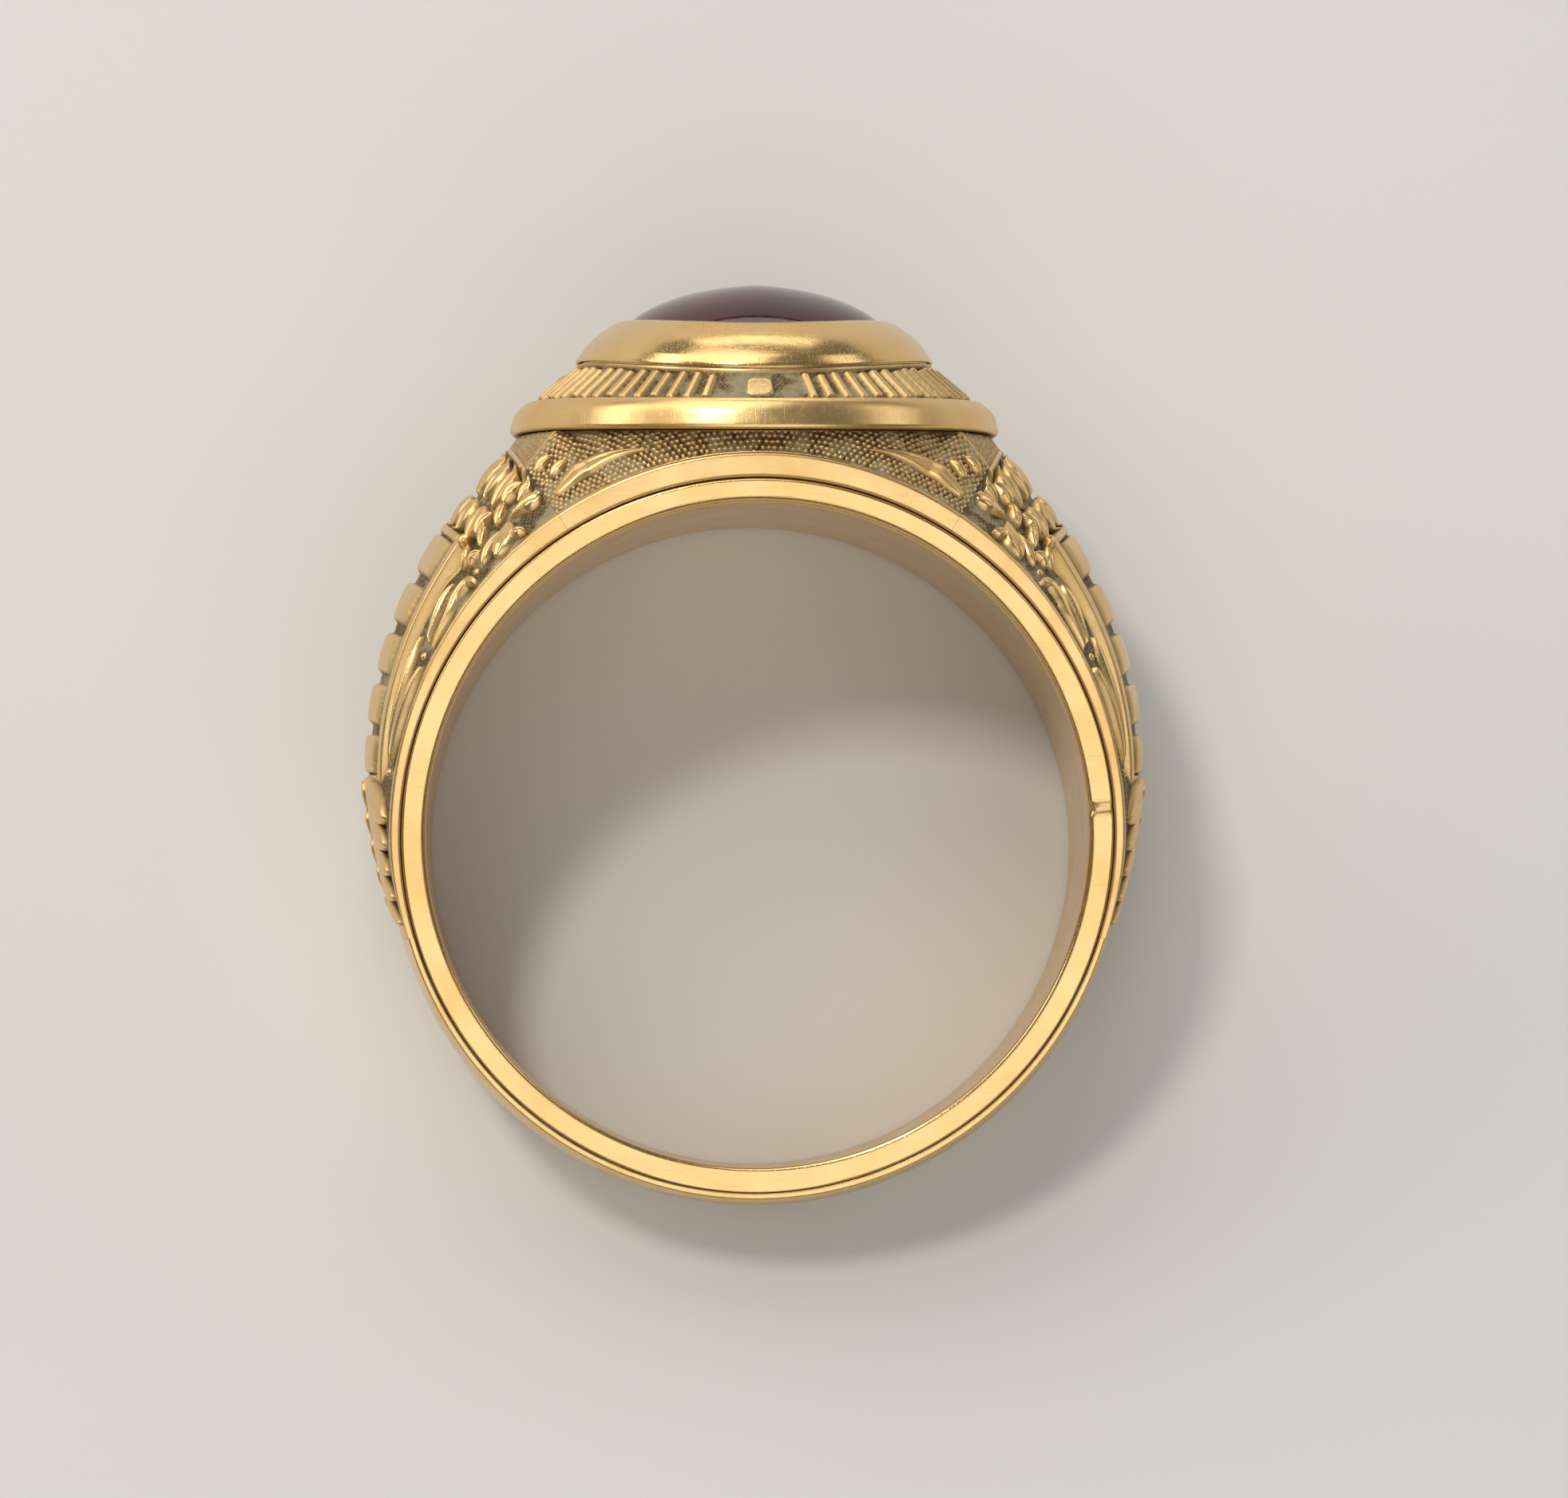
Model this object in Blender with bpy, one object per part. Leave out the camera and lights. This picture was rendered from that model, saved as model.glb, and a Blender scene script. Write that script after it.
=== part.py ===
"""Signet ring with a domed oval stone, lying on one of its two flat sides.

Everything is laid out in the ring's own frame, in millimetres: X runs across the finger, Y from
the middle of the finger hole to the stone, Z along the finger. An empty then leans the ring over
until one flat side is level. Left and right are those of somebody looking along -Z.
"""

import math

import bmesh
import bpy
from mathutils import Matrix

MM = 0.001

# The finger hole and the ring's width along the finger.
HOLE_RADIUS = 9.10
LINER_WALL = 0.65
HALF_WIDTH = 4.36  # at the level of the hole's centre
SIDE_TAPER = 0.236  # each side face moves out this much per millimetre towards the stone
SOLDER_GAP = 0.05
EDGE = 0.12  # chamfer on both sides of the joint between the liner and the outer band

# The outer band. Angles are in degrees, from +X towards the stone.
SHANK_WALL = 0.40  # at mid width
SHANK_EDGE_WALL = 0.18  # at the side faces
SHOULDER_START = -16.0
SHOULDER_END = 58.0
SHOULDER_STATIONS = ((-16.0, 0.0), (0.0, 0.42), (20.0, 1.18), (40.0, 1.95), (58.0, 2.75))
RAIL_WIDTH = 0.30
RAIL_GAIN = 0.35  # how much wider the side rail is over the head
RAIL_STEP = 0.35
PANEL_SHARE = 0.56  # of the half width, taken by the panel on the crown of a shoulder
PANEL_START = 9.0
PANEL_END = 45.0
PANEL_DEPTH = 0.28
CAMBER_RADIUS = 8.5  # of the shoulder's crown, from side to side
BORDER_WIDTH = 0.32
BORDER_HEIGHT = 0.34
BLOCKS = 5
BLOCK_RISE = 0.05
SHOULDER_STEPS = 18

# The leaf sprays that lie on the slopes between the side rails and the crown panels.
SPRAY_START = -1.0
SPRAY_END = 56.5
SPRAY_LOBES = 6
SPRAY_THICKNESS = 0.34
SPRAY_STEPS = 34

# The stone and its collar. The head is an oval, longer along the finger; radii are half widths.
STONE_RADIUS = 4.00
DOME_HEIGHT = 1.90
GIRDLE_WALL = 0.68  # the stone's straight side, from its flat underside up
COLLAR_WALL = 0.80
LIP_COVER = 0.38  # how far the lip reaches in over the stone's edge
LIP_WIDTH = 0.26
LIP_RISE = 0.09  # the lip's top above the dome next to it
SKIRT = 0.15
COLLAR_BULGE = 0.12  # of the cone's middle, past a straight line
SEAT_WIDTH = 1.08
SEAT_HEIGHT = 0.34
FOIL_THICKNESS = 0.08
OVAL_EXTRA = 1.0  # half length less half width, at the stone
OVAL_LOSS = 0.47  # how fast that difference shrinks outside the collar

# The head's frame and the gallery under it.
GALLERY_WALL = 1.50  # at mid width, over the finger
GALLERY_STEPS = 24
GALLERY_RISE = 0.09  # growth of the gallery's corners, per degree away from the shoulders
FRAME_REACH = 2.01  # how far the lower rail stands out past the collar
LEDGE_WALL = 1.00  # of the frame, under the collar
LEDGE_WIDTH = 1.50
SOCKET_DEPTH = 0.95
RAIL_HEIGHT = 1.00
RAIL_SLANT = 0.58  # how far the rail leans in from its foot to its top
BAND_RECESS = 0.13
REEDS = 28
# The head's layers fall by this times the square of the way along the finger.
SAG_LOW = 0.005  # at the lower rail
SAG_HIGH = 0.0145  # at the collar

ROUND_STEPS = 60
STONE_STEPS = 48
LINER_STEPS = 84

# Radii of the outer band: its inside, the shank's edge and the shank's crown.
BAND_RADIUS = HOLE_RADIUS + LINER_WALL + SOLDER_GAP
SHANK_LAND = BAND_RADIUS + SHANK_EDGE_WALL
SHANK_RADIUS = BAND_RADIUS + SHANK_WALL
JOINT_ANGLE = math.degrees(0.5 * SOLDER_GAP / SHANK_RADIUS)

# Half widths of the head's round pieces.
COLLAR_RADIUS = STONE_RADIUS + SOLDER_GAP + COLLAR_WALL
LIP_RADIUS = STONE_RADIUS - LIP_COVER
SEAT_RADIUS = STONE_RADIUS - 0.02
BORE_RADIUS = COLLAR_RADIUS + SOLDER_GAP - LEDGE_WIDTH
FRAME_RADIUS = COLLAR_RADIUS + FRAME_REACH

# Heights in the head, up from the hole's centre.
GALLERY_TOP = BAND_RADIUS + GALLERY_WALL
LEDGE = GALLERY_TOP + SOLDER_GAP + LEDGE_WALL
FRAME_TOP = LEDGE + SOCKET_DEPTH
STONE_BASE = LEDGE + SEAT_HEIGHT + FOIL_THICKNESS + 3 * SOLDER_GAP
STONE_GIRDLE = STONE_BASE + GIRDLE_WALL
SAG_FROM = GALLERY_TOP + 0.80
SAG_TO = FRAME_TOP - 0.14


# --- scene -------------------------------------------------------------------------------------


def clear_scene():
    for obj in list(bpy.data.objects):
        bpy.data.objects.remove(obj, do_unlink=True)


def new_collection(name):
    collection = bpy.data.collections.new(name)
    bpy.context.scene.collection.children.link(collection)
    return collection


def material(name, colour, metallic, roughness):
    made = bpy.data.materials.new(name)
    made.use_nodes = True
    shader = made.node_tree.nodes["Principled BSDF"]
    shader.inputs["Base Color"].default_value = (*colour, 1.0)
    shader.inputs["Metallic"].default_value = metallic
    shader.inputs["Roughness"].default_value = roughness
    made.diffuse_color = (*colour, 1.0)
    return made


def gold(name, shade, roughness):
    """Yellow gold, darker where shade is under one."""
    return material(name, (0.79 * shade, 0.53 * shade, 0.20 * shade), 1.0, roughness)


def finish(bm, name, look, collection):
    """The object of a finished mesh, which is in millimetres until here."""
    bmesh.ops.recalc_face_normals(bm, faces=bm.faces)
    bmesh.ops.scale(bm, vec=(MM, MM, MM), verts=bm.verts)
    mesh = bpy.data.meshes.new(name)
    bm.to_mesh(mesh)
    bm.free()
    mesh.shade_smooth()
    mesh.set_sharp_from_angle(angle=math.radians(32))
    obj = bpy.data.objects.new(name, mesh)
    if look is not None:
        mesh.materials.append(look)
    collection.objects.link(obj)
    return obj


# --- shared shapes -----------------------------------------------------------------------------


def side_face(y):
    """Half the ring's width at height y."""
    return HALF_WIDTH + SIDE_TAPER * y


def smooth(t):
    t = min(max(t, 0.0), 1.0)
    return t * t * (3.0 - 2.0 * t)


def loft(sections, closed):
    """A skin through sections of as many points each; open ends are capped."""
    bm = bmesh.new()
    rings = [[bm.verts.new(point) for point in section] for section in sections]
    pairs = list(zip(rings, rings[1:]))
    if closed:
        pairs.append((rings[-1], rings[0]))
    for first, second in pairs:
        for i, corner in enumerate(first):
            j = (i + 1) % len(first)
            bm.faces.new((corner, first[j], second[j], second[i]))
    if not closed:
        bm.faces.new(rings[0])
        bm.faces.new(rings[-1])
    return bm


def turned(profile, axis, start, sweep, steps):
    """A closed profile turned about an axis through the origin; an open turn is capped."""
    bm = bmesh.new()
    verts = [bm.verts.new(point) for point in profile]
    edges = [bm.edges.new((a, b)) for a, b in zip(verts, verts[1:] + verts[:1])]
    whole = sweep == 360.0
    turn = Matrix.Rotation(math.radians(start), 3, axis)
    bmesh.ops.rotate(bm, cent=(0, 0, 0), matrix=turn, verts=verts)
    bmesh.ops.spin(
        bm,
        geom=verts + edges,
        cent=(0, 0, 0),
        axis=axis,
        angle=math.radians(sweep),
        steps=steps,
        use_merge=whole,
    )
    if not whole:
        bmesh.ops.holes_fill(bm, edges=bm.edges, sides=0)
    return bm


def taper(bm, half_width):
    """Turn flat ends at +-half_width into the ring's two leaning side faces."""
    for vert in bm.verts:
        vert.co.z *= side_face(vert.co.y) / half_width


def oval_reach(radius):
    """Half length along the finger of the head's oval whose half width is radius."""
    return radius + OVAL_EXTRA - OVAL_LOSS * max(radius - COLLAR_RADIUS, 0.0)


def sag(height):
    """How strongly a layer of the head bends down towards the two ends."""
    share = (height - SAG_FROM) / (SAG_TO - SAG_FROM)
    return SAG_LOW + (SAG_HIGH - SAG_LOW) * min(max(share, 0.0), 1.0)


def oval(bm):
    """Stretch a round head piece to the oval and bend it down towards both ends."""
    for vert in bm.verts:
        radius = math.hypot(vert.co.x, vert.co.z)
        if radius > 1e-4:
            vert.co.z *= oval_reach(radius) / radius
        vert.co.y -= sag(vert.co.y) * vert.co.z**2


def head_turn(profile, steps):
    """A head piece turned from (half width, height) points."""
    points = [(radius, height, 0.0) for radius, height in profile]
    return turned(points, (0, 1, 0), 0.0, 360.0, steps)


def dome(radius):
    """Height of the stone's dome at a half width."""
    return STONE_GIRDLE + DOME_HEIGHT * math.sqrt(max(1.0 - (radius / STONE_RADIUS) ** 2, 0.0))


def section_points(angle, half):
    """A whole section in the plane at an angle, from (radius, z) points of its half with z >= 0."""
    turn = math.radians(angle)
    whole = half + [(radius, -z) for radius, z in reversed(half) if z > 1e-6]
    return [(radius * math.cos(turn), radius * math.sin(turn), z) for radius, z in whole]


# --- band --------------------------------------------------------------------------------------


def finger_liner(look, collection):
    """The plain inner band, which forms the finger hole."""
    inner, outer = HOLE_RADIUS, HOLE_RADIUS + LINER_WALL
    half = [
        (inner, HALF_WIDTH - EDGE),
        (inner + EDGE, HALF_WIDTH),
        (outer - EDGE, HALF_WIDTH),
        (outer, HALF_WIDTH - EDGE),
    ]
    profile = half + [(radius, -z) for radius, z in reversed(half)]
    bm = turned([(radius, 0.0, z) for radius, z in profile], (0, 0, 1), 0.0, 360.0, LINER_STEPS)
    taper(bm, HALF_WIDTH)
    return finish(bm, "finger_liner", look, collection)


def shank_base(look, collection):
    """The plain half-round lower arc between the two shoulders."""
    crown = SHANK_RADIUS - SHANK_LAND
    half = [
        (BAND_RADIUS, HALF_WIDTH - EDGE),
        (BAND_RADIUS + EDGE, HALF_WIDTH),
        (SHANK_LAND, HALF_WIDTH),
        (SHANK_LAND + 0.45 * crown, HALF_WIDTH * 0.84),
        (SHANK_LAND + 0.85 * crown, HALF_WIDTH * 0.50),
    ]
    profile = half + [(SHANK_RADIUS, 0.0)] + [(radius, -z) for radius, z in reversed(half)]
    start = 180.0 - SHOULDER_START
    sweep = 180.0 + 2.0 * SHOULDER_START
    points = [(radius, 0.0, z) for radius, z in profile]
    bm = turned(points, (0, 0, 1), start + JOINT_ANGLE, sweep - 2.0 * JOINT_ANGLE, 36)
    taper(bm, HALF_WIDTH)
    return finish(bm, "shank_base", look, collection)


def crown_radius(angle):
    """Outer radius of the shoulder at mid width."""
    angles = [station[0] for station in SHOULDER_STATIONS]
    for (a0, h0), (a1, h1) in zip(SHOULDER_STATIONS, SHOULDER_STATIONS[1:]):
        if angle <= a1 or a1 == angles[-1]:
            return SHANK_RADIUS + h0 + (h1 - h0) * (angle - a0) / (a1 - a0)
    return SHANK_RADIUS


def camber(z):
    """How far the crown has fallen at a distance z from mid width."""
    return z * z / (2.0 * CAMBER_RADIUS)


def rail_radius(angle):
    """Outer radius of the narrow flat on the side face."""
    rail = BAND_RADIUS + RAIL_WIDTH
    if angle < 0.0:
        return SHANK_LAND + (rail - SHANK_LAND) * smooth(1.0 - angle / SHOULDER_START)
    return rail + RAIL_GAIN * math.sin(math.radians(angle)) ** 2


def relief(angle):
    """How deep the shoulder's recesses are, as a share of full depth."""
    return 0.12 + 0.88 * smooth((angle - SHOULDER_START) / 18.0)


def slope(angle):
    """The two ends, as (radius, z), of the slope from the side rail up to the crown panel."""
    turn = math.sin(math.radians(angle))
    rail, crown = rail_radius(angle), crown_radius(angle)
    foot = (rail + 0.02, side_face(rail * turn) - RAIL_STEP * relief(angle))
    border = PANEL_SHARE * side_face(crown * turn)
    height = crown - camber(border) - BORDER_HEIGHT * relief(angle)
    return foot, (max(height, rail + 0.04), border + 0.02)


def block_edges():
    """Start and end angle of each raised block on the crown panel."""
    pitch = (PANEL_END - PANEL_START) / BLOCKS
    starts = [PANEL_START + pitch * (i + 0.14) for i in range(BLOCKS)]
    return [(start, start + 0.72 * pitch) for start in starts]


def panel_floor(angle, raised):
    """Height of the crown panel's middle above the crown's own surface."""
    if not PANEL_START < angle < PANEL_END:
        return 0.0
    return BLOCK_RISE if raised else -PANEL_DEPTH * relief(angle)


def shoulder_section(angle, raised):
    turn = math.sin(math.radians(angle))
    rail, crown = rail_radius(angle), crown_radius(angle)
    foot, head = slope(angle)
    border = head[1] - 0.02
    floor = panel_floor(angle, raised)
    half = [
        (BAND_RADIUS, side_face(BAND_RADIUS * turn) - EDGE),
        (BAND_RADIUS + EDGE, side_face((BAND_RADIUS + EDGE) * turn)),
        (rail, side_face(rail * turn)),
        foot,
        head,
    ]
    for z, rise in (
        (border, -0.02),
        (border - 0.06, 0.0),
        (border - BORDER_WIDTH, 0.0),
        (border - BORDER_WIDTH - 0.05, floor),
        (border * 0.45, floor),
        (0.0, floor),
    ):
        half.append((crown - camber(z) + rise, z))
    return section_points(angle, half)


def shoulder_angles():
    """(angle, raised) of every section, with two close together at each wall of a block."""
    start, end = SHOULDER_START + JOINT_ANGLE, SHOULDER_END - JOINT_ANGLE
    walls = [(PANEL_START, False), (PANEL_END, False)]
    for first, last in block_edges():
        walls += [(first - 0.5, False), (first, True), (last, True), (last + 0.5, False)]
    even = [start + (end - start) * i / SHOULDER_STEPS for i in range(SHOULDER_STEPS + 1)]
    clear = [angle for angle in even if all(abs(angle - wall) > 1.2 for wall, _ in walls)]
    inside = [(angle, any(a < angle < b for a, b in block_edges())) for angle in clear]
    walls += [(PANEL_START + 0.5, False), (PANEL_END - 0.5, False)]
    return sorted(inside + walls)


def mirror_sideways(bm):
    """Turn a right-hand piece into the left-hand one."""
    bmesh.ops.scale(bm, vec=(-1, 1, 1), verts=bm.verts)


def shoulder(side, look, collection):
    """One swelling shoulder, from the plain shank up to the head."""
    bm = loft([shoulder_section(angle, raised) for angle, raised in shoulder_angles()], False)
    if side == "left":
        mirror_sideways(bm)
    return finish(bm, "shoulder_" + side, look, collection)


def spray_section(angle, along, face):
    """A section of a leaf spray, lying SOLDER_GAP off the slope."""
    foot, head = slope(angle)
    length = math.dist(foot, head)
    ux, uz = (head[0] - foot[0]) / length, (head[1] - foot[1]) / length
    lobe = abs(math.sin(math.pi * SPRAY_LOBES * along)) ** 0.7
    ends = smooth(min(along, 1.0 - along) * 6.0)
    half = length * (0.05 + 0.40 * (0.45 + 0.55 * lobe) * ends)
    thick = SPRAY_THICKNESS * (0.35 + 0.65 * ends)
    top = 0.62 * half
    corners = ((-half, 0.0), (half, 0.0), (top, thick), (0.0, 1.15 * thick), (-top, thick))
    turn = math.radians(angle)
    points = []
    for across, rise in corners:
        off = rise + SOLDER_GAP
        radius = (foot[0] + head[0]) / 2 + ux * across - uz * off
        z = (foot[1] + head[1]) / 2 + uz * across + ux * off
        points.append((radius * math.cos(turn), radius * math.sin(turn), z * face))
    return points


def leaf_spray(side, face, look, collection):
    """One applied spray of leaves on a shoulder's front or back slope."""
    steps = [i / SPRAY_STEPS for i in range(SPRAY_STEPS + 1)]
    reach = SPRAY_END - SPRAY_START
    bm = loft([spray_section(SPRAY_START + reach * t, t, face) for t in steps], False)
    if side == "left":
        mirror_sideways(bm)
    name = "leaf_spray_" + side + ("_front" if face > 0 else "_back")
    return finish(bm, name, look, collection)


# --- head --------------------------------------------------------------------------------------


def gallery_section(angle):
    turn = math.sin(math.radians(angle))
    rail = rail_radius(angle)
    across = GALLERY_TOP / math.tan(math.radians(angle)) if angle != 90.0 else 0.0
    under = FRAME_RADIUS - 0.31
    share = math.sqrt(max(1.0 - (across / under) ** 2, 0.0))
    joint = PANEL_SHARE * side_face(GALLERY_TOP - 0.2)
    reach = max(joint, (oval_reach(under) - 0.30) * share)
    inward = min(angle, 180.0 - angle) - SHOULDER_END
    most = crown_radius(SHOULDER_END) + GALLERY_RISE * inward

    def top(z):
        return min((GALLERY_TOP - SAG_LOW * z * z) / turn, most - camber(z))

    foot = (rail + 0.02, side_face(rail * turn) - RAIL_STEP)
    high = (top(reach), reach)
    cove = (0.55 * foot[0] + 0.45 * high[0], 0.55 * foot[1] + 0.45 * high[1] - 0.16)
    half = [
        (BAND_RADIUS, side_face(BAND_RADIUS * turn) - EDGE),
        (BAND_RADIUS + EDGE, side_face((BAND_RADIUS + EDGE) * turn)),
        (rail, side_face(rail * turn)),
        foot,
        cove,
        high,
    ]
    half += [(top(reach * share), reach * share) for share in (0.75, 0.5, 0.25, 0.0)]
    return section_points(angle, half)


def head_gallery(look, collection, cutters):
    """The arched bridge between the shoulders, hollowed out under the stone."""
    start, end = SHOULDER_END + JOINT_ANGLE, 180.0 - SHOULDER_END - JOINT_ANGLE
    angles = [start + (end - start) * i / GALLERY_STEPS for i in range(GALLERY_STEPS + 1)]
    bridge = loft([gallery_section(angle) for angle in angles], False)
    gallery = finish(bridge, "head_gallery", look, collection)
    low, high = GALLERY_TOP - 5.0, GALLERY_TOP + 3.0
    hollow = [(0.0, low), (BORE_RADIUS, low), (BORE_RADIUS, high), (0.0, high)]
    cutter = finish(disc(hollow, 48), "cut_hollow", None, cutters)
    cutter.hide_render = True
    cutter.display_type = "WIRE"
    cut = gallery.modifiers.new("hollow", "BOOLEAN")
    cut.operation = "DIFFERENCE"
    cut.solver = "EXACT"
    cut.object = cutter
    return gallery, cutter


def frame_section(turn, raised):
    """A section of the oval frame; raised lifts the band's middle into a reed."""
    high = (COLLAR_RADIUS + SKIRT, FRAME_TOP - 0.06)
    bottom = GALLERY_TOP + SOLDER_GAP
    low = (FRAME_RADIUS - RAIL_SLANT, bottom + RAIL_HEIGHT)
    length = math.dist(high, low)
    ux, uy = (low[0] - high[0]) / length, (low[1] - high[1]) / length
    lift = 0.05 if raised else -BAND_RECESS
    band = []
    for share, rise in (
        (0.0, 0.0),
        (0.06, 0.0),
        (0.12, lift),
        (0.50, lift),
        (0.88, lift),
        (0.94, 0.0),
        (1.0, 0.0),
    ):
        along = share * length
        band.append((high[0] + ux * along - uy * rise, high[1] + uy * along + ux * rise))
    rail = [
        (FRAME_RADIUS - 0.80 * RAIL_SLANT, bottom + RAIL_HEIGHT),
        (FRAME_RADIUS - 0.36 * RAIL_SLANT, bottom + 0.74 * RAIL_HEIGHT),
        (FRAME_RADIUS - 0.07 * RAIL_SLANT, bottom + 0.44 * RAIL_HEIGHT),
        (FRAME_RADIUS, bottom + 0.16),
        (FRAME_RADIUS - 0.06, bottom + 0.05),
        (FRAME_RADIUS - 0.20, bottom),
    ]
    socket = COLLAR_RADIUS + SOLDER_GAP
    bore = [(BORE_RADIUS, bottom), (BORE_RADIUS, LEDGE), (socket, LEDGE), (socket, FRAME_TOP)]
    profile = [(COLLAR_RADIUS + SKIRT - 0.05, FRAME_TOP)] + band + rail + bore
    points = []
    for radius, height in profile:
        points.append((radius * math.cos(turn), height, radius * math.sin(turn)))
    return points


def bezel_frame(look, collection):
    """The oval frame of the head, with a sloping reeded band and a polished lower rail."""
    steps = REEDS * 4
    sections = []
    for i in range(steps):
        sections.append(frame_section(2.0 * math.pi * i / steps, i % 4 in (1, 2)))
    bm = loft(sections, True)
    oval(bm)
    return finish(bm, "bezel_frame", look, collection)


def bezel_collar(look, collection):
    """The plain tube that holds the stone, with its conical lip closed over the girdle."""
    base = LEDGE + SOLDER_GAP
    skirt = FRAME_TOP + SOLDER_GAP
    inside = STONE_RADIUS + SOLDER_GAP
    lip = LIP_RADIUS + LIP_WIDTH
    top = dome(LIP_RADIUS) + LIP_RISE
    profile = [
        (inside, base),
        (COLLAR_RADIUS, base),
        (COLLAR_RADIUS, skirt),
        (COLLAR_RADIUS + SKIRT, skirt),
        (COLLAR_RADIUS + SKIRT, skirt + 0.08),
        ((COLLAR_RADIUS + lip) / 2 + COLLAR_BULGE, (skirt + top) / 2 + COLLAR_BULGE),
        (lip + 0.05, top - 0.07),
        (lip - 0.08, top),
        (LIP_RADIUS + 0.06, top),
        (LIP_RADIUS, top - 0.02),
        (LIP_RADIUS + 0.23, dome(LIP_RADIUS + 0.23) + LIP_RISE),
        (inside, STONE_GIRDLE + 0.15),
    ]
    bm = head_turn(profile, ROUND_STEPS)
    oval(bm)
    return finish(bm, "bezel_collar", look, collection)


def stone_seat(look, collection):
    """The bearing ring inside the collar, on which the stone's edge rests."""
    bore = SEAT_RADIUS - SEAT_WIDTH
    base = LEDGE + SOLDER_GAP
    top = base + SEAT_HEIGHT
    profile = [(bore, base), (SEAT_RADIUS, base), (SEAT_RADIUS, top), (bore, top)]
    bm = head_turn(profile, ROUND_STEPS)
    oval(bm)
    return finish(bm, "stone_seat", look, collection)


def disc(profile, steps):
    """A solid head piece, whose profile starts and ends on the axis."""
    bm = bmesh.new()
    verts = [bm.verts.new((radius, height, 0.0)) for radius, height in profile]
    edges = [bm.edges.new(pair) for pair in zip(verts, verts[1:])]
    bmesh.ops.spin(
        bm,
        geom=verts + edges,
        cent=(0, 0, 0),
        axis=(0, 1, 0),
        angle=math.radians(360),
        steps=steps,
        use_merge=True,
    )
    bmesh.ops.remove_doubles(bm, verts=bm.verts, dist=1e-4)
    oval(bm)
    return bm


def stone_backing(look, collection):
    """The thin bright foil between the seat and the stone."""
    base = LEDGE + 2 * SOLDER_GAP + SEAT_HEIGHT
    top = base + FOIL_THICKNESS
    rim = STONE_RADIUS - 0.15
    profile = [(0.0, base), (0.5 * rim, base), (rim, base), (rim, top), (0.5 * rim, top), (0.0, top)]
    return finish(disc(profile, STONE_STEPS), "stone_backing", look, collection)


def stone(look, collection):
    """The oval cabochon: flat underneath, a low dome on top."""
    rim = STONE_RADIUS - 0.01
    profile = [(0.0, STONE_BASE), (0.5 * rim, STONE_BASE), (rim - 0.1, STONE_BASE)]
    profile += [(rim, STONE_BASE + 0.1), (rim, STONE_GIRDLE)]
    for degrees in (14, 28, 42, 56, 70, 80):
        turn = math.radians(degrees)
        profile.append((rim * math.cos(turn), STONE_GIRDLE + DOME_HEIGHT * math.sin(turn)))
    profile.append((0.0, STONE_GIRDLE + DOME_HEIGHT))
    return finish(disc(profile, STONE_STEPS), "stone", look, collection)


# --- assembly ----------------------------------------------------------------------------------


def lean_over(pieces):
    """Hang the pieces on an empty that lays one side face level, with the box's base centred."""
    frame = bpy.data.objects.new("ring_frame", None)
    bpy.context.scene.collection.objects.link(frame)
    frame.rotation_euler = (math.atan(SIDE_TAPER), 0.0, 0.0)
    for piece in pieces:
        piece.parent = frame
    turn = frame.rotation_euler.to_matrix()
    points = [turn @ vert.co for piece in pieces for vert in piece.data.vertices]
    low = [min(point[i] for point in points) for i in range(3)]
    high = [max(point[i] for point in points) for i in range(3)]
    frame.location = (-(low[0] + high[0]) / 2, -(low[1] + high[1]) / 2, -low[2])


def main():
    clear_scene()
    ring = new_collection("signet_ring")
    cutters = new_collection("cutters")
    polished = gold("polished_gold", 1.0, 0.18)
    worn = gold("worn_gold", 0.93, 0.30)
    dark_gold = gold("antiqued_gold", 0.45, 0.50)
    foil = material("foil", (0.80, 0.78, 0.74), 1.0, 0.25)
    garnet = material("dark_red_stone", (0.045, 0.003, 0.004), 0.0, 0.06)
    gallery, cutter = head_gallery(dark_gold, ring, cutters)
    pieces = [
        finger_liner(polished, ring),
        shank_base(worn, ring),
        shoulder("right", dark_gold, ring),
        shoulder("left", dark_gold, ring),
        gallery,
        cutter,
        bezel_frame(worn, ring),
        bezel_collar(polished, ring),
        stone_seat(worn, ring),
        stone_backing(foil, ring),
        stone(garnet, ring),
    ]
    for side in ("right", "left"):
        for face in (1, -1):
            pieces.append(leaf_spray(side, face, worn, ring))
    lean_over([piece for piece in pieces if piece is not cutter])
    cutter.parent = gallery.parent


main()
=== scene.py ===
"""The looks of a gold signet ring with a domed oval stone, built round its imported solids.

Shapes are worked out in the ring's own frame, in millimetres: X across the finger, Y from the
middle of the finger hole to the stone, Z along the finger. IN_PLACE then lays them in the room.
Right-hand angles run from +X towards the stone, in degrees.
"""

import math

import bmesh
import bpy
from bpy.props import FloatProperty, FloatVectorProperty, PointerProperty
from mathutils import Matrix, Vector, noise


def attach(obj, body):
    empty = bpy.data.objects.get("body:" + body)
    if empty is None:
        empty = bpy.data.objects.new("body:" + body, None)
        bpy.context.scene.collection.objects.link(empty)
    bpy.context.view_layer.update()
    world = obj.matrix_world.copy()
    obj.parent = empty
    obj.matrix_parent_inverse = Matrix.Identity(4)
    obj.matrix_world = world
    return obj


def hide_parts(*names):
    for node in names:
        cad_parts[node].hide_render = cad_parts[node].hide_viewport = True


bl_info = {
    "name": "Oval signet ring",
    "version": (1, 0, 0),
    "blender": (4, 5, 0),
    "location": "3D View > Sidebar > Ring",
    "description": "Builds the visible pieces, finishes and stage of a domed signet ring",
    "category": "Object",
}

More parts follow.
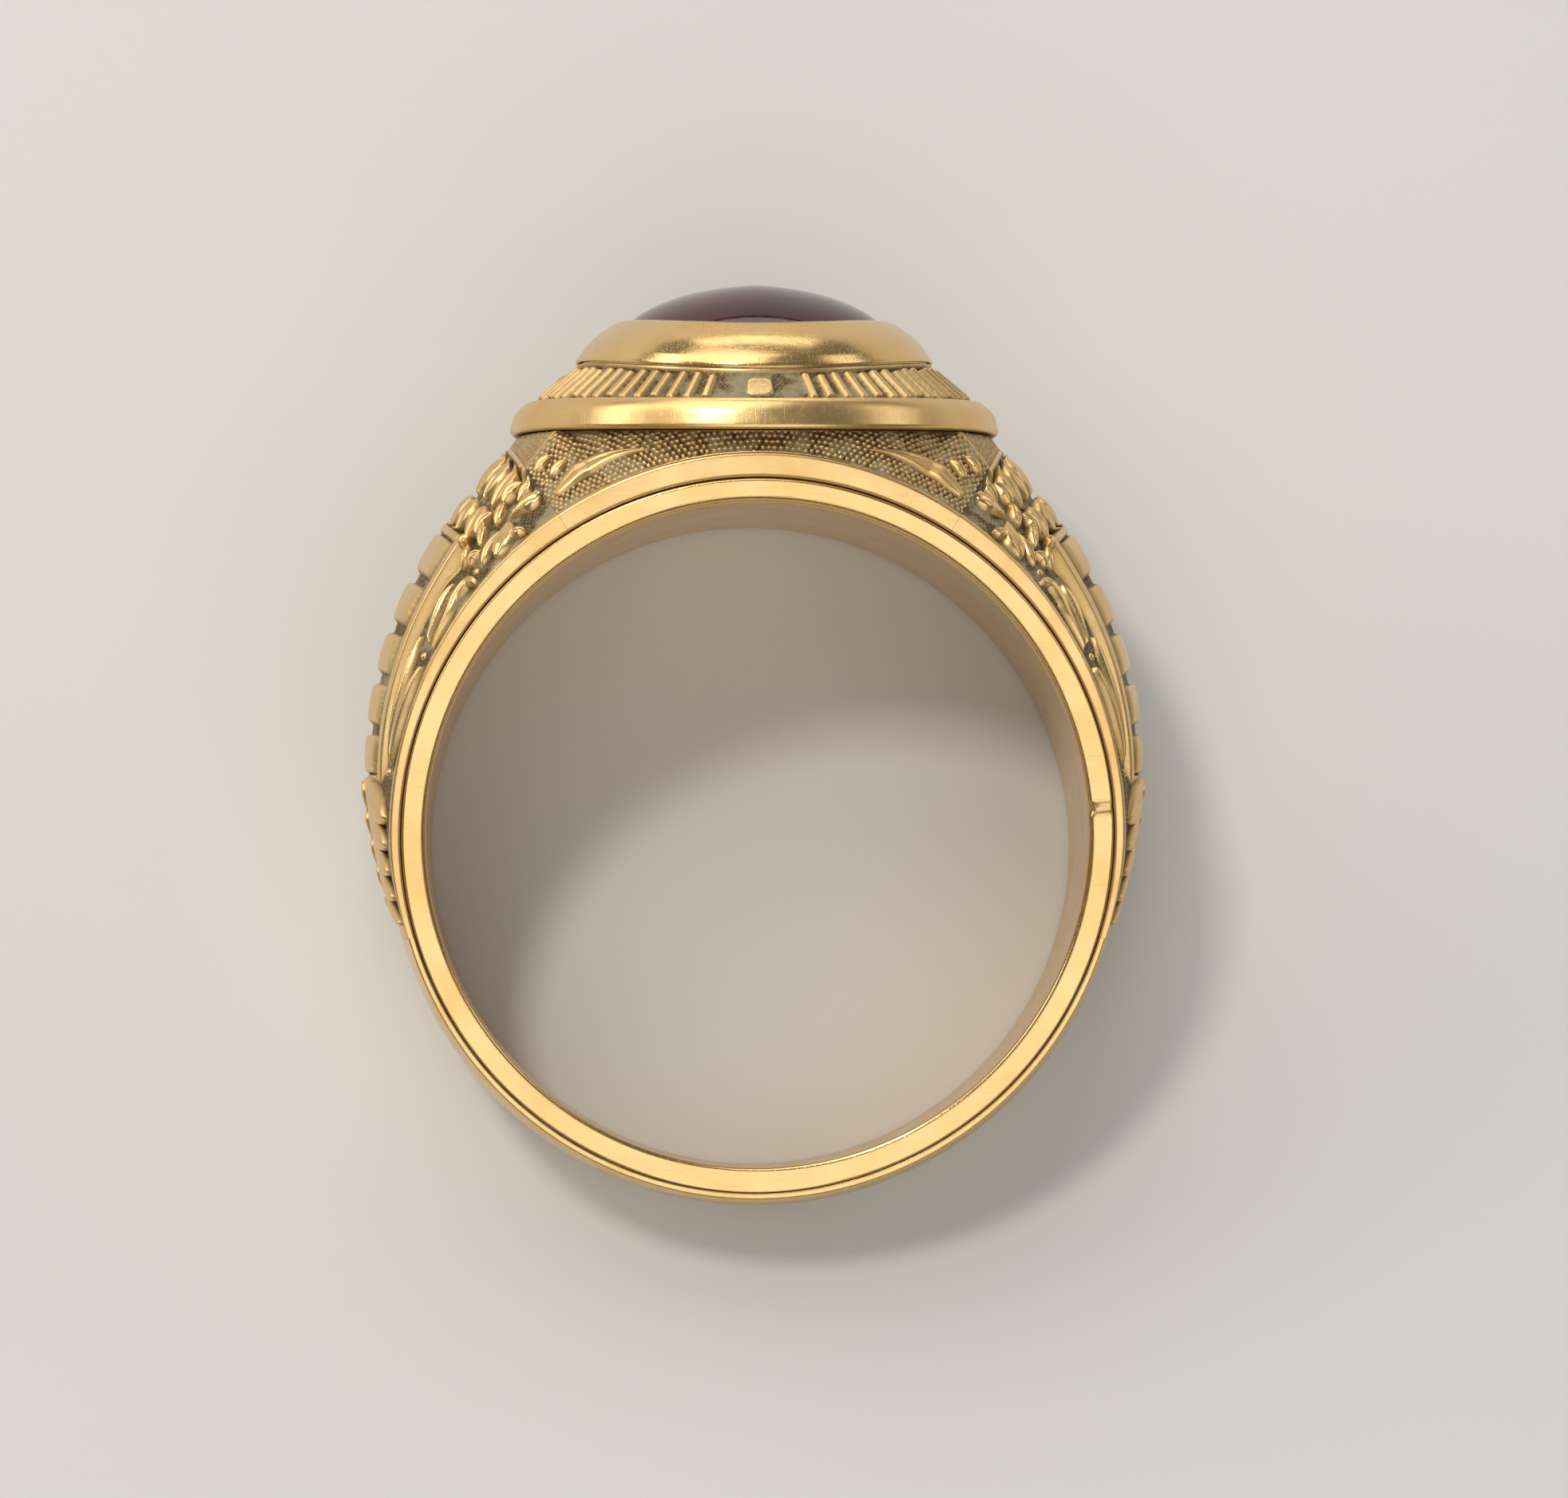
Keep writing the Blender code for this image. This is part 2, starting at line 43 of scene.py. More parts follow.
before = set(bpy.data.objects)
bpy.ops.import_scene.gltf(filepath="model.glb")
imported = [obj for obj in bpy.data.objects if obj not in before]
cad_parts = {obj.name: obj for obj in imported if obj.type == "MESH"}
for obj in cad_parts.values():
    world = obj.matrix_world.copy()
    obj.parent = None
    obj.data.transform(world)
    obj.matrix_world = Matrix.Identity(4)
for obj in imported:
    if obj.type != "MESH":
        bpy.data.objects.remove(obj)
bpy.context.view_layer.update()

# Sizes that the solids were made with, in millimetres and degrees.
HOLE_RADIUS = 9.10
BAND_RADIUS = 9.80
HALF_WIDTH = 4.36
SIDE_TAPER = 0.236
SHANK_LAND = 9.98
SHANK_RADIUS = 10.20
SHOULDER_START = -16.0
SHOULDER_END = 58.0
STATIONS = ((-16.0, 0.0), (0.0, 0.42), (20.0, 1.18), (40.0, 1.95), (58.0, 2.75))
RAIL_WIDTH = 0.30
RAIL_GAIN = 0.35
RAIL_STEP = 0.35
PANEL_SHARE = 0.56
PANEL_START = 9.0
PANEL_END = 45.0
CAMBER_RADIUS = 8.5
BORDER_WIDTH = 0.32
BORDER_HEIGHT = 0.34
BLOCKS = 5
GALLERY_TOP = 11.30
GALLERY_RISE = 0.09
SAG_LOW = 0.005
SAG_HIGH = 0.0145
SAG_FROM = 12.10
SAG_TO = 13.16
OVAL_EXTRA = 1.0
OVAL_LOSS = 0.47
COLLAR_RADIUS = 4.85
FRAME_RADIUS = 6.86
FRAME_TOP = 13.30
BORE_RADIUS = 3.40
LEDGE = 12.35
STONE_RADIUS = 3.99
STONE_BASE = 12.92
STONE_GIRDLE = 13.60
DOME_HEIGHT = 1.90
LIP_RADIUS = 3.62
LIP_TOP = 14.50
SKIRT = 0.15

# Edges that nearly close the solids' solder gaps, so that a joint shows as a fine line.
LINER_OUTER = 9.785
JOINT_ANGLE = 0.02
FRAME_BASE = 11.32
SOCKET_RADIUS = COLLAR_RADIUS + 0.05
GROOVE_ROUND = 0.11

# How far a wall leans over its height, and the length of a degree on the shoulders' outside.
LEAN = 0.02
DEGREE = 0.2

# Sizes of the ornament, in millimetres and right-hand degrees.
PANEL_DEPTH = 0.16
CUSHION_RISE = 0.07
CUSHION_MARGIN = 0.24
STRIP_START = 11.0
STRIP_BULGE = 42.4
STRIP_END = 56.8
CROWN_FROM = 45.4
CROWN_TO = 57.6
CROWN_DROP = 0.32
LAUREL_FROM = 8.6
LAUREL_DROP = 0.06
LAUREL_ROWS = 5
LAUREL_START = 7.4
LAUREL_PITCH = 4.1
COVE_HOLLOW = 0.30
BAND_SLOTS = 76
LOZENGE_HALF_SLOTS = 0.85
LOZENGE_HALF_HEIGHT = 0.34
SEAM_ANGLE = 5.0
SEAM_DEPTH = 0.10

# How far a corner has to be closed in before painted shade darkens it.
CORNER_SHADE_REACH = 0.34

# Roughness, share of tarnish and painted shade, strength of scratches and strength of dents of the
# gold finishes.
GOLD_FINISHES = {
    "yellow_gold_polished": (0.20, 0.35, 0.8, 0.5),
    "yellow_gold_worn": (0.24, 0.65, 0.8, 0.6),
    # The antiqued finish takes the full dark mix: tarnish and painted shade.
    "yellow_gold_antiqued_and_shaded": (0.30, 1.0, 0.7, 1.0),
}

# The photograph's view: the eye and what it looks at in the ring's frame, and the lens.
EYE = (-5.0, -2.6, 209.0)
LOOKED_AT = (0.838, 2.567, 0.0)
LENS = 171.3

MM = 0.001
TILT = math.atan(SIDE_TAPER)

# The scatter of the punched grains comes from this seed, so it is the same in every run.
GRAIN_SEED = 7
noise.seed_set(GRAIN_SEED)


def hole_centre():
    """The middle of the finger hole, which is the mean of the liner's own corners."""
    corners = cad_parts["finger_liner"].data.vertices
    return sum((corner.co for corner in corners), Vector()) / len(corners)


IN_PLACE = Matrix.Translation(hole_centre()) @ Matrix.Rotation(TILT, 4, "X") @ Matrix.Scale(MM, 4)


def linear(hex_colour):
    """An sRGB hex colour as linear values."""
    parts = [int(hex_colour[i : i + 2], 16) / 255 for i in (0, 2, 4)]
    return tuple(p / 12.92 if p <= 0.04045 else ((p + 0.055) / 1.055) ** 2.4 for p in parts)


# --- settings ----------------------------------------------------------------------------------


class RingSizes(bpy.types.PropertyGroup):
    """Sizes of the ornament that a jeweller would change."""

    stipple_depth: FloatProperty(
        name="Stipple depth",
        description="Depth of the punched grains on the sunk grounds",
        default=0.000045,
        min=0.0,
        precision=5,
        unit="LENGTH",
    )
    stipple_pitch: FloatProperty(
        name="Stipple pitch",
        description="Distance between two punched grains",
        default=0.00015,
        min=0.00005,
        precision=5,
        unit="LENGTH",
    )
    leaf_height: FloatProperty(
        name="Leaf height",
        description="How far the leaves stand up from their ground",
        default=0.00027,
        min=0.00005,
        precision=5,
        unit="LENGTH",
    )
    bar_height: FloatProperty(
        name="Bar height",
        description="How far the upright bars of the head stand up from their ground",
        default=0.00017,
        min=0.00002,
        precision=5,
        unit="LENGTH",
    )


class RingColours(bpy.types.PropertyGroup):
    """Colours of the finishes, as linear values."""

    gold: FloatVectorProperty(
        name="Gold",
        description="Clean 10 karat yellow gold",
        subtype="COLOR",
        default=linear("E5C387"),
    )
    # Dark brown of tarnish in the hollows, also used as painted shade in corners and on sunk grounds.
    patina_and_shade: FloatVectorProperty(
        name="Patina",
        description="Dark antiquing in the recesses",
        subtype="COLOR",
        default=linear("2C1A0D"),
    )
    residue: FloatVectorProperty(
        name="Residue",
        description="Dried polishing residue in the deepest corners",
        subtype="COLOR",
        default=linear("A29A78"),
    )
    stone: FloatVectorProperty(
        name="Stone",
        description="Dark red of the domed stone",
        subtype="COLOR",
        default=linear("560A11"),
    )
    floor: FloatVectorProperty(
        name="Floor",
        description="Plain pale floor",
        subtype="COLOR",
        default=linear("D9D7D3"),
    )


# --- finishes ----------------------------------------------------------------------------------


def add(tree, kind, settings, links):
    """One shader node with its settings; links gives each socket a value or another socket."""
    node = tree.nodes.new("ShaderNode" + kind)
    for name, value in settings.items():
        setattr(node, name, value)
    for socket, value in links.items():
        if isinstance(value, bpy.types.NodeSocket):
            tree.links.new(value, node.inputs[socket])
        else:
            node.inputs[socket].default_value = value
    return node


def blend(tree, factor, low, high):
    """A colour that goes from low to high with factor."""
    mixed = add(tree, "Mix", {"data_type": "RGBA"}, {0: factor, 6: low, 7: high})
    return mixed.outputs[2]


def ramp(tree, value, start, end, low=0.0, high=1.0):
    """value's way from start to end, as low to high."""
    links = {"Value": value, "From Min": start, "From Max": end, "To Min": low, "To Max": high}
    return add(tree, "MapRange", {}, links).outputs["Result"]


def combine(tree, operation, first, second):
    """Two numbers joined, kept between zero and one."""
    settings = {"operation": operation, "use_clamp": True}
    return add(tree, "Math", settings, {0: first, 1: second}).outputs[0]


def new_material(name):
    made = bpy.data.materials.new(name)
    made.use_nodes = True
    made.node_tree.nodes.clear()
    return made, made.node_tree


def millimetres(tree, stretch=(1.0, 1.0, 1.0), turn=(0.0, 0.0, 0.0)):
    """Object coordinates in millimetres, stretched and turned for a streaked pattern."""
    place = add(tree, "TexCoord", {}, {}).outputs["Object"]
    scale = tuple(part / MM for part in stretch)
    links = {"Vector": place, "Rotation": turn, "Scale": scale}
    return add(tree, "Mapping", {"vector_type": "POINT"}, links).outputs["Vector"]


def grain(tree, place, scale, detail=2.0):
    links = {"Vector": place, "Scale": scale, "Detail": detail}
    return add(tree, "TexNoise", {}, links).outputs["Fac"]


def scratches(tree):
    """Fine wear marks in three directions, 0.02 to 0.05 mm wide and a millimetre or two long."""
    marks = None
    for stretch, turn in (
        ((22.0, 0.7, 22.0), (0.3, 0.0, 0.5)),
        ((0.8, 26.0, 26.0), (0.0, 0.4, -0.4)),
        ((30.0, 30.0, 0.9), (0.5, 0.2, 0.0)),
    ):
        field = grain(tree, millimetres(tree, stretch, turn), 1.0, 1.0)
        line = ramp(tree, field, 0.62, 0.74)
        marks = line if marks is None else combine(tree, "MAXIMUM", marks, line)
    return marks


def yellow_gold(name, roughness, patina_and_shade, marks, bump):
    """10 karat yellow gold, cast, polished and worn.

    The eye sees a warm even metal with small soft dents and hairline scratches that catch the light.
    Its colour turns dark brown with painted shade in closed-in corners, and with brown tarnish and
    painted shade on sunk grounds. patina_and_shade is how much of that there is; marks and bump
    are how strong scratches and dents show.
    """
    colours = bpy.context.scene.ring_colours
    _made, tree = new_material(name)
    even = millimetres(tree)
    cloud = grain(tree, even, 0.55, 3.0)
    fine = grain(tree, even, 7.0, 3.0)
    lines = scratches(tree)

    warm = (*[part * share for part, share in zip(colours.gold, (0.98, 0.89, 0.78))], 1.0)
    clean = blend(tree, ramp(tree, cloud, 0.35, 0.7), (*colours.gold, 1.0), warm)

    # Painted shade: corners darken by how closed in they are, from ambient occlusion. Sunk grounds
    # darken by the attribute that they carry, as tarnish and painted shade.
    links = {"Distance": CORNER_SHADE_REACH * MM}
    open_sky = add(tree, "AmbientOcclusion", {"samples": 6}, links).outputs["AO"]
    corner = ramp(tree, open_sky, 0.74, 0.24, 0.0, 0.55)
    sunk = add(tree, "Attribute", {"attribute_name": "recess"}, {}).outputs["Fac"]
    broken = ramp(tree, fine, 0.25, 0.75, 0.72, 1.0)
    depth = combine(tree, "ADD", corner, combine(tree, "MULTIPLY", sunk, 1.2))
    dark = combine(tree, "MULTIPLY", combine(tree, "MULTIPLY", depth, broken), patina_and_shade)

    # Pale dried polish sits in patches about 0.6 mm across, and only on sunk grounds, where the
    # tarnish and painted shade are deepest.
    patch = ramp(tree, grain(tree, even, 1.4, 2.0), 0.49, 0.60)
    pale = combine(tree, "MULTIPLY", combine(tree, "MULTIPLY", patch, sunk), 0.8 * patina_and_shade)

    colour = blend(tree, dark, clean, (*colours.patina_and_shade, 1.0))
    colour = blend(tree, pale, colour, (*colours.residue, 1.0))
    metal = combine(tree, "SUBTRACT", 1.0, combine(tree, "MULTIPLY", dark, 0.55))
    metal = combine(tree, "SUBTRACT", metal, pale)
    rough = ramp(tree, cloud, 0.3, 0.7, roughness * 0.8, roughness * 1.25)
    rough = combine(tree, "ADD", rough, combine(tree, "MULTIPLY", lines, 0.12 * marks))
    rough = combine(tree, "ADD", rough, combine(tree, "MULTIPLY", dark, 0.30))
    rough = combine(tree, "ADD", rough, combine(tree, "MULTIPLY", pale, 0.30))

    dents = grain(tree, even, 1.1, 2.0)
    links = {"Strength": 0.35 * bump, "Distance": 0.05 * MM, "Height": dents}
    soft = add(tree, "Bump", {}, links).outputs["Normal"]
    links = {"Strength": 0.25 * marks, "Distance": 0.006 * MM, "Height": lines, "Normal": soft}
    cut = add(tree, "Bump", {"invert": True}, links).outputs["Normal"]
    shader = add(
        tree,
        "BsdfPrincipled",
        {},
        {"Base Color": colour, "Metallic": metal, "Roughness": rough, "Normal": cut},
    )
    add(tree, "OutputMaterial", {}, {"Surface": shader.outputs[0]})


def dark_red_stone():
    """Garnet-red domed stone, ground and polished, close to black where it is thick."""
    made, tree = new_material("dark_red_garnet_polished")
    even = millimetres(tree)
    lines = scratches(tree)
    smoke = grain(tree, even, 0.5, 3.0)
    red = (*bpy.context.scene.ring_colours.stone, 1.0)
    deep = (*[part * 0.45 for part in red[:3]], 1.0)
    colour = blend(tree, ramp(tree, smoke, 0.35, 0.7), deep, red)
    rough = ramp(tree, grain(tree, even, 2.0, 4.0), 0.3, 0.8, 0.03, 0.09)
    rough = combine(tree, "ADD", rough, combine(tree, "MULTIPLY", lines, 0.08))
    links = {"Strength": 0.12, "Distance": 0.004 * MM, "Height": lines}
    cut = add(tree, "Bump", {"invert": True}, links).outputs["Normal"]
    shader = add(
        tree,
        "BsdfPrincipled",
        {},
        {
            "Base Color": colour,
            "Roughness": rough,
            "Normal": cut,
            "IOR": 1.60,
            "Transmission Weight": 0.30,
        },
    )
    add(tree, "OutputMaterial", {}, {"Surface": shader.outputs[0]})
    return made


def bright_foil():
    """Rolled silver-coloured foil, crumpled a little where it was pressed under the stone."""
    made, tree = new_material("rolled_silver_foil")
    even = millimetres(tree)
    creases = grain(tree, even, 1.6, 2.0)
    rolled = grain(tree, millimetres(tree, (18.0, 1.0, 1.0)), 1.0, 1.0)
    rough = ramp(tree, rolled, 0.3, 0.7, 0.16, 0.34)
    links = {"Strength": 0.5, "Distance": 0.03 * MM, "Height": creases}
    bent = add(tree, "Bump", {}, links).outputs["Normal"]
    colour = blend(tree, rolled, (*linear("D8D4CC"), 1.0), (*linear("BDB6A6"), 1.0))
    shader = add(
        tree,
        "BsdfPrincipled",
        {},
        {"Base Color": colour, "Metallic": 1.0, "Roughness": rough, "Normal": bent},
    )
    add(tree, "OutputMaterial", {}, {"Surface": shader.outputs[0]})
    return made


def pale_floor():
    """Matt painted board."""
    made, tree = new_material("matt_pale_board")
    tone = (*bpy.context.scene.ring_colours.floor, 1.0)
    darker = (*[part * 0.97 for part in tone[:3]], 1.0)
    colour = blend(tree, grain(tree, millimetres(tree), 0.06, 2.0), tone, darker)
    shader = add(tree, "BsdfPrincipled", {}, {"Base Color": colour, "Roughness": 0.85})
    add(tree, "OutputMaterial", {}, {"Surface": shader.outputs[0]})
    return made


def finish(name):
    """The named gold finish, made once."""
    if name not in bpy.data.materials:
        yellow_gold(name, *GOLD_FINISHES[name])
    return bpy.data.materials[name]


# --- shapes ------------------------------------------------------------------------------------


def smooth(t):
    t = min(max(t, 0.0), 1.0)
    return t * t * (3.0 - 2.0 * t)


def side_face(y):
    """Half the ring's width at height y."""
    return HALF_WIDTH + SIDE_TAPER * y


def crown_radius(angle):
    """Outer radius of a shoulder at mid width, as the solids have it."""
    last = STATIONS[-1][0]
    for (a0, h0), (a1, h1) in zip(STATIONS, STATIONS[1:]):
        if angle <= a1 or a1 == last:
            return SHANK_RADIUS + h0 + (h1 - h0) * (angle - a0) / (a1 - a0)
    return SHANK_RADIUS


def camber(z):
    return z * z / (2.0 * CAMBER_RADIUS)


def rail_radius(angle):
    """Outer radius of the narrow flat on the side face."""
    rail = BAND_RADIUS + RAIL_WIDTH
    if angle < 0.0:
        return SHANK_LAND + (rail - SHANK_LAND) * smooth(1.0 - angle / SHOULDER_START)
    return rail + RAIL_GAIN * math.sin(math.radians(angle)) ** 2


def relief(angle):
    """How deep the shoulder's recesses are, as a share of full depth."""
    return 0.12 + 0.88 * smooth((angle - SHOULDER_START) / 18.0)


def slope_ends(angle):
    """The two ends, as (radius, z), of the slope from the side rail up to the crown panel.

    The bright strip above the slope is low next to the plain shank, where the leaves cross it,
    bulges near the panel's end and runs out at the head.
    """
    turn = math.sin(math.radians(angle))
    rail, crown = rail_radius(angle), crown_radius(angle)
    low = smooth((STRIP_START - angle) / 2.5)
    foot = (rail + LEAN, side_face(rail * turn) - RAIL_STEP * relief(angle) * (1.0 - 0.35 * low))
    border = PANEL_SHARE * side_face(crown * turn)
    strip = BORDER_HEIGHT * (0.70 + 0.30 * smooth((angle - 12.0) / 26.0))
    strip += 0.13 * math.exp(-(((angle - STRIP_BULGE) / 2.0) ** 2))
    strip *= relief(angle) * (1.0 - 0.7 * low) * (1.0 - smooth((angle - STRIP_END) / 1.2))
    height = crown - camber(border) - strip
    return Vector(foot), Vector((max(height, rail + 2 * LEAN), border + LEAN))


def crown_drop(angle):
    """How far the crown lies under its full height, beyond the two ends of the panel."""
    high = CROWN_DROP * smooth((angle - CROWN_FROM) / 0.8) * smooth((CROWN_TO - angle) / 1.4)
    low = LAUREL_DROP * smooth((LAUREL_FROM - angle) / 0.8) * smooth((angle + 15.5) / 3.0)
    return high + low


def oval_reach(radius):
    """Half length along the finger of the head's oval whose half width is radius."""
    return radius + OVAL_EXTRA - OVAL_LOSS * max(radius - COLLAR_RADIUS, 0.0)


def sag(height):
    """How strongly a layer of the head bends down towards the two ends."""
    share = (height - SAG_FROM) / (SAG_TO - SAG_FROM)
    return SAG_LOW + (SAG_HIGH - SAG_LOW) * min(max(share, 0.0), 1.0)


def oval(bm):
    """Stretch a round head piece to the oval and bend it down towards both ends."""
    for vert in bm.verts:
        radius = math.hypot(vert.co.x, vert.co.z)
        if radius > 1e-4:
            vert.co.z *= oval_reach(radius) / radius
        vert.co.y -= sag(vert.co.y) * vert.co.z**2


def grains(u, v, pitch):
    """Height of a punched ground, one on a grain's top, less than zero in the lines between.

    The grains stand in close rows, each pushed a little off its place.
    """
    rise, uneven = 0.87, 0.22
    nearest = 1.0
    low = math.floor(v / (rise * pitch))
    for row in (low, low + 1):
        shift = 0.5 * (row % 2)
        place = Vector((round(u / pitch - shift) + shift, rise * row, 0.0))
        place += uneven * noise.noise_vector(place * 3.7)
        away = (u / pitch - place.x) ** 2 + (v / pitch - place.y) ** 2
        nearest = min(nearest, away)
    return 1.0 - 4.8 * min(nearest, 0.36)


def outline(corners, arc=3):
    """A closed outline of (a, b, rounding, cells, side name) corners.

    Each corner is rounded, and the straight side that follows it is cut into its cells. Every
    point comes with the name of its side and its share of the way along it.
    """
    places = [Vector(corner[:2]) for corner in corners]
    turns = []
    for i, here in enumerate(places):
        back, on = places[i - 1] - here, places[(i + 1) % len(places)] - here
        cut = min(corners[i][2], 0.45 * back.length, 0.45 * on.length)
        turns.append((here + back.normalized() * cut, here, here + on.normalized() * cut))
    points = []
    for i, (start, here, end) in enumerate(turns):
        for k in range(arc + 1):
            t = k / arc
            points.append((start.lerp(here, t).lerp(here.lerp(end, t), t), "corner", 0.0))
        after = turns[(i + 1) % len(turns)][0]
        cells = corners[i][3]
        for k in range(1, cells):
            points.append((end.lerp(after, k / cells), corners[i][4], k / cells))
    return points


def mirrored(half, last):
    """A whole section from the corners of its half with z >= 0; last is the inner side's cells."""
    back = []
    for i in range(len(half) - 1, -1, -1):
        a, b, rounding = half[i][:3]
        cells, side = (half[i - 1][3], half[i - 1][4]) if i else (last, "inside")
        back.append((a, -b, rounding, cells, side))
    return half + back


def across(points, i):
    """Unit normal, pointing out, of an outline that is walked from +Z to -Z over its outside."""
    run = points[(i + 1) % len(points)] - points[i - 1]
    normal = Vector((-run.y, run.x))
    return normal.normalized() if normal.length > 1e-9 else Vector((1.0, 0.0))


def skin(sections, whole):
    """A closed mesh through sections, each a closed loop of (point, recess)."""
    rows, columns = len(sections) - 1, len(sections[0])
    bm = bmesh.new()
    bmesh.ops.create_grid(bm, x_segments=rows, y_segments=columns, size=0.5)
    recess = bm.verts.layers.float.new("recess")
    for vert in bm.verts:
        row = round((vert.co.x + 0.5) * rows)
        column = round((vert.co.y + 0.5) * columns) % columns
        vert.co, vert[recess] = sections[row][column]
    bmesh.ops.remove_doubles(bm, verts=bm.verts, dist=2e-4)
    if not whole:
        bmesh.ops.holes_fill(bm, edges=bm.edges, sides=0)
    return bm


def at_angle(angle, radius, z):
    """The point at a right-hand angle, distance from the finger's axis and way along it."""
    turn = math.radians(angle)
    return Vector((radius * math.cos(turn), radius * math.sin(turn), z))


def flip_sideways(bm):
    bmesh.ops.scale(bm, vec=(-1, 1, 1), verts=bm.verts)


def show(bm, name, look, replaced):
    """Put a finished mesh, in millimetres of the ring's own frame, in place of CAD nodes."""
    bmesh.ops.recalc_face_normals(bm, faces=bm.faces)
    bmesh.ops.transform(bm, matrix=IN_PLACE, verts=bm.verts)
    mesh = bpy.data.meshes.new(name)
    bm.to_mesh(mesh)
    bm.free()
    mesh.shade_smooth()
    mesh.set_sharp_from_angle(angle=math.radians(60))
    mesh.materials.append(look)
    piece = bpy.data.objects.new(name, mesh)
    bpy.context.scene.collection.objects.link(piece)
    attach(piece, "root")
    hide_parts(replaced)


# --- leaves ------------------------------------------------------------------------------------


def spine_point(spine, t):
    """A point on the smooth curve through the spine's (angle, share) points."""
    spans = len(spine) - 1
    i = min(int(t * spans), spans - 1)
    u = t * spans - i
    p0, p1, p2, p3 = (Vector(spine[min(max(i + k, 0), spans)]) for k in (-1, 0, 1, 2))
    if i == 0:
        p0 = 2 * p1 - p2
    if i == spans - 1:
        p3 = 2 * p2 - p1
    a, b, c = 2 * p1, p2 - p0, 2 * p0 - 5 * p1 + 4 * p2 - p3
    d = 3 * p1 - p0 - 3 * p2 + p3
    return 0.5 * (a + b * u + c * u * u + d * u**3)


def blade(bm, ground, spine, width, height, fat=1.0, vein=0.3, cells=(18, 8)):
    """One carved leaf or scroll on a ground, which gives (radius, z) at an (angle, share).

    The spine runs through (angle, share) points. fat moves the widest place towards the root
    (under one) or the tip (over one), and vein is the depth of the middle groove as a share of
    the height.
    """
    part = bmesh.new()
    bmesh.ops.create_grid(part, x_segments=cells[0], y_segments=cells[1], size=0.5)
    recess = part.verts.layers.float.new("recess")
    middle = spine_point(spine, 0.5)
    base = ground(middle.x, middle.y)
    reach = (ground(middle.x, middle.y + 0.05) - ground(middle.x, middle.y - 0.05)).length / 0.1
    unit = Vector((math.radians(1.0) * base.x, reach))
    for vert in part.verts:
        a, b = vert.co.x + 0.5, vert.co.y * 2.0
        here = spine_point(spine, a)
        ahead = spine_point(spine, min(a + 0.02, 1.0)) - spine_point(spine, max(a - 0.02, 0.0))
        run = Vector((ahead.x * unit.x, ahead.y * unit.y)).normalized()
        swell = math.sin(math.pi * min(max(a, 0.02), 0.98) ** fat) ** 0.75
        offset = 0.5 * width * swell * b
        angle = here.x - run.y * offset / unit.x
        share = here.y + run.x * offset / unit.y
        spot = ground(angle, share)
        step = ground(angle, share + 0.02) - ground(angle, share - 0.02)
        out = Vector((-step.y, step.x)).normalized()
        if out.x + 0.4 * out.y < 0.0:
            out = -out
        rise = height * (0.45 + 0.55 * swell) * (1.0 - abs(b) ** 5) ** 0.5
        rise -= height * vein * math.exp(-((b / 0.16) ** 2)) * smooth(a * 4.0)
        if abs(b) > 0.99 or a < 0.001 or a > 0.999:
            rise = -0.08
        spot = spot + out * rise
        # The leaf's low rim takes the dark mix: tarnish and painted shade where it meets its ground.
        vert[recess] = 0.8 if rise < 0.02 else 0.0
        vert.co = at_angle(angle, spot.x, spot.y)
    # A short foot under the rim, so that the bottom closes on edges of its own.
    rim = [edge for edge in part.edges if edge.is_boundary]
    grown = bmesh.ops.extrude_edge_only(part, edges=rim)["geom"]
    foot = [item for item in grown if isinstance(item, bmesh.types.BMVert)]
    bmesh.ops.scale(part, vec=(0.998, 0.998, 0.998), verts=foot)
    bmesh.ops.holes_fill(part, edges=part.edges, sides=0)
    mesh = bpy.data.meshes.new("leaf")
    part.to_mesh(mesh)
    part.free()
    bm.from_mesh(mesh)
    bpy.data.meshes.remove(mesh)


def bead(bm, ground, angle, share, radius):
    """A round grain of gold, half sunk in a ground."""
    spot = ground(angle, share)
    where = at_angle(angle, spot.x, spot.y)
    bmesh.ops.create_icosphere(
        bm, subdivisions=2, radius=radius, matrix=Matrix.Translation(where)
    )


# --- pieces ------------------------------------------------------------------------------------


def inner_band():
    """The plain liner, with rounded edges and a small worn seam on its front face."""
    inner, outer = HOLE_RADIUS, LINER_OUTER
    half = [
        (inner, HALF_WIDTH, 0.24, 3, "face"),
        (outer, HALF_WIDTH, GROOVE_ROUND, 1, "outside"),
    ]
    corners = mirrored(half, 10)
    section = outline(corners, arc=7)
    sections = []
    steps = 480
    for i in range(steps + 1):
        angle = 360.0 * (i % steps) / steps
        turn = math.radians(angle)
        nick = math.exp(-(((angle - SEAM_ANGLE) / 0.55) ** 2))
        wave = 0.012 * math.sin(3 * turn + 0.5) + 0.008 * math.sin(7 * turn)
        row = []
        for point, _side, _share in section:
            y = point.x * math.sin(turn)
            z = point.y * side_face(y) / HALF_WIDTH
            front = smooth((point.y - HALF_WIDTH + 0.5) / 0.5)
            z -= front * (SEAM_DEPTH * nick - wave)
            radius = point.x + (SEAM_DEPTH * nick * front if point.x < inner + 0.2 else 0.0)
            deep = 0.6 if point.x > outer - 0.03 else 0.4 * nick * front
            row.append((at_angle(angle, radius, min(z, side_face(y))), deep))
        sections.append(row)
    bm = skin(sections, True)
    show(bm, "inner_band", finish("yellow_gold_polished"), "finger_liner")


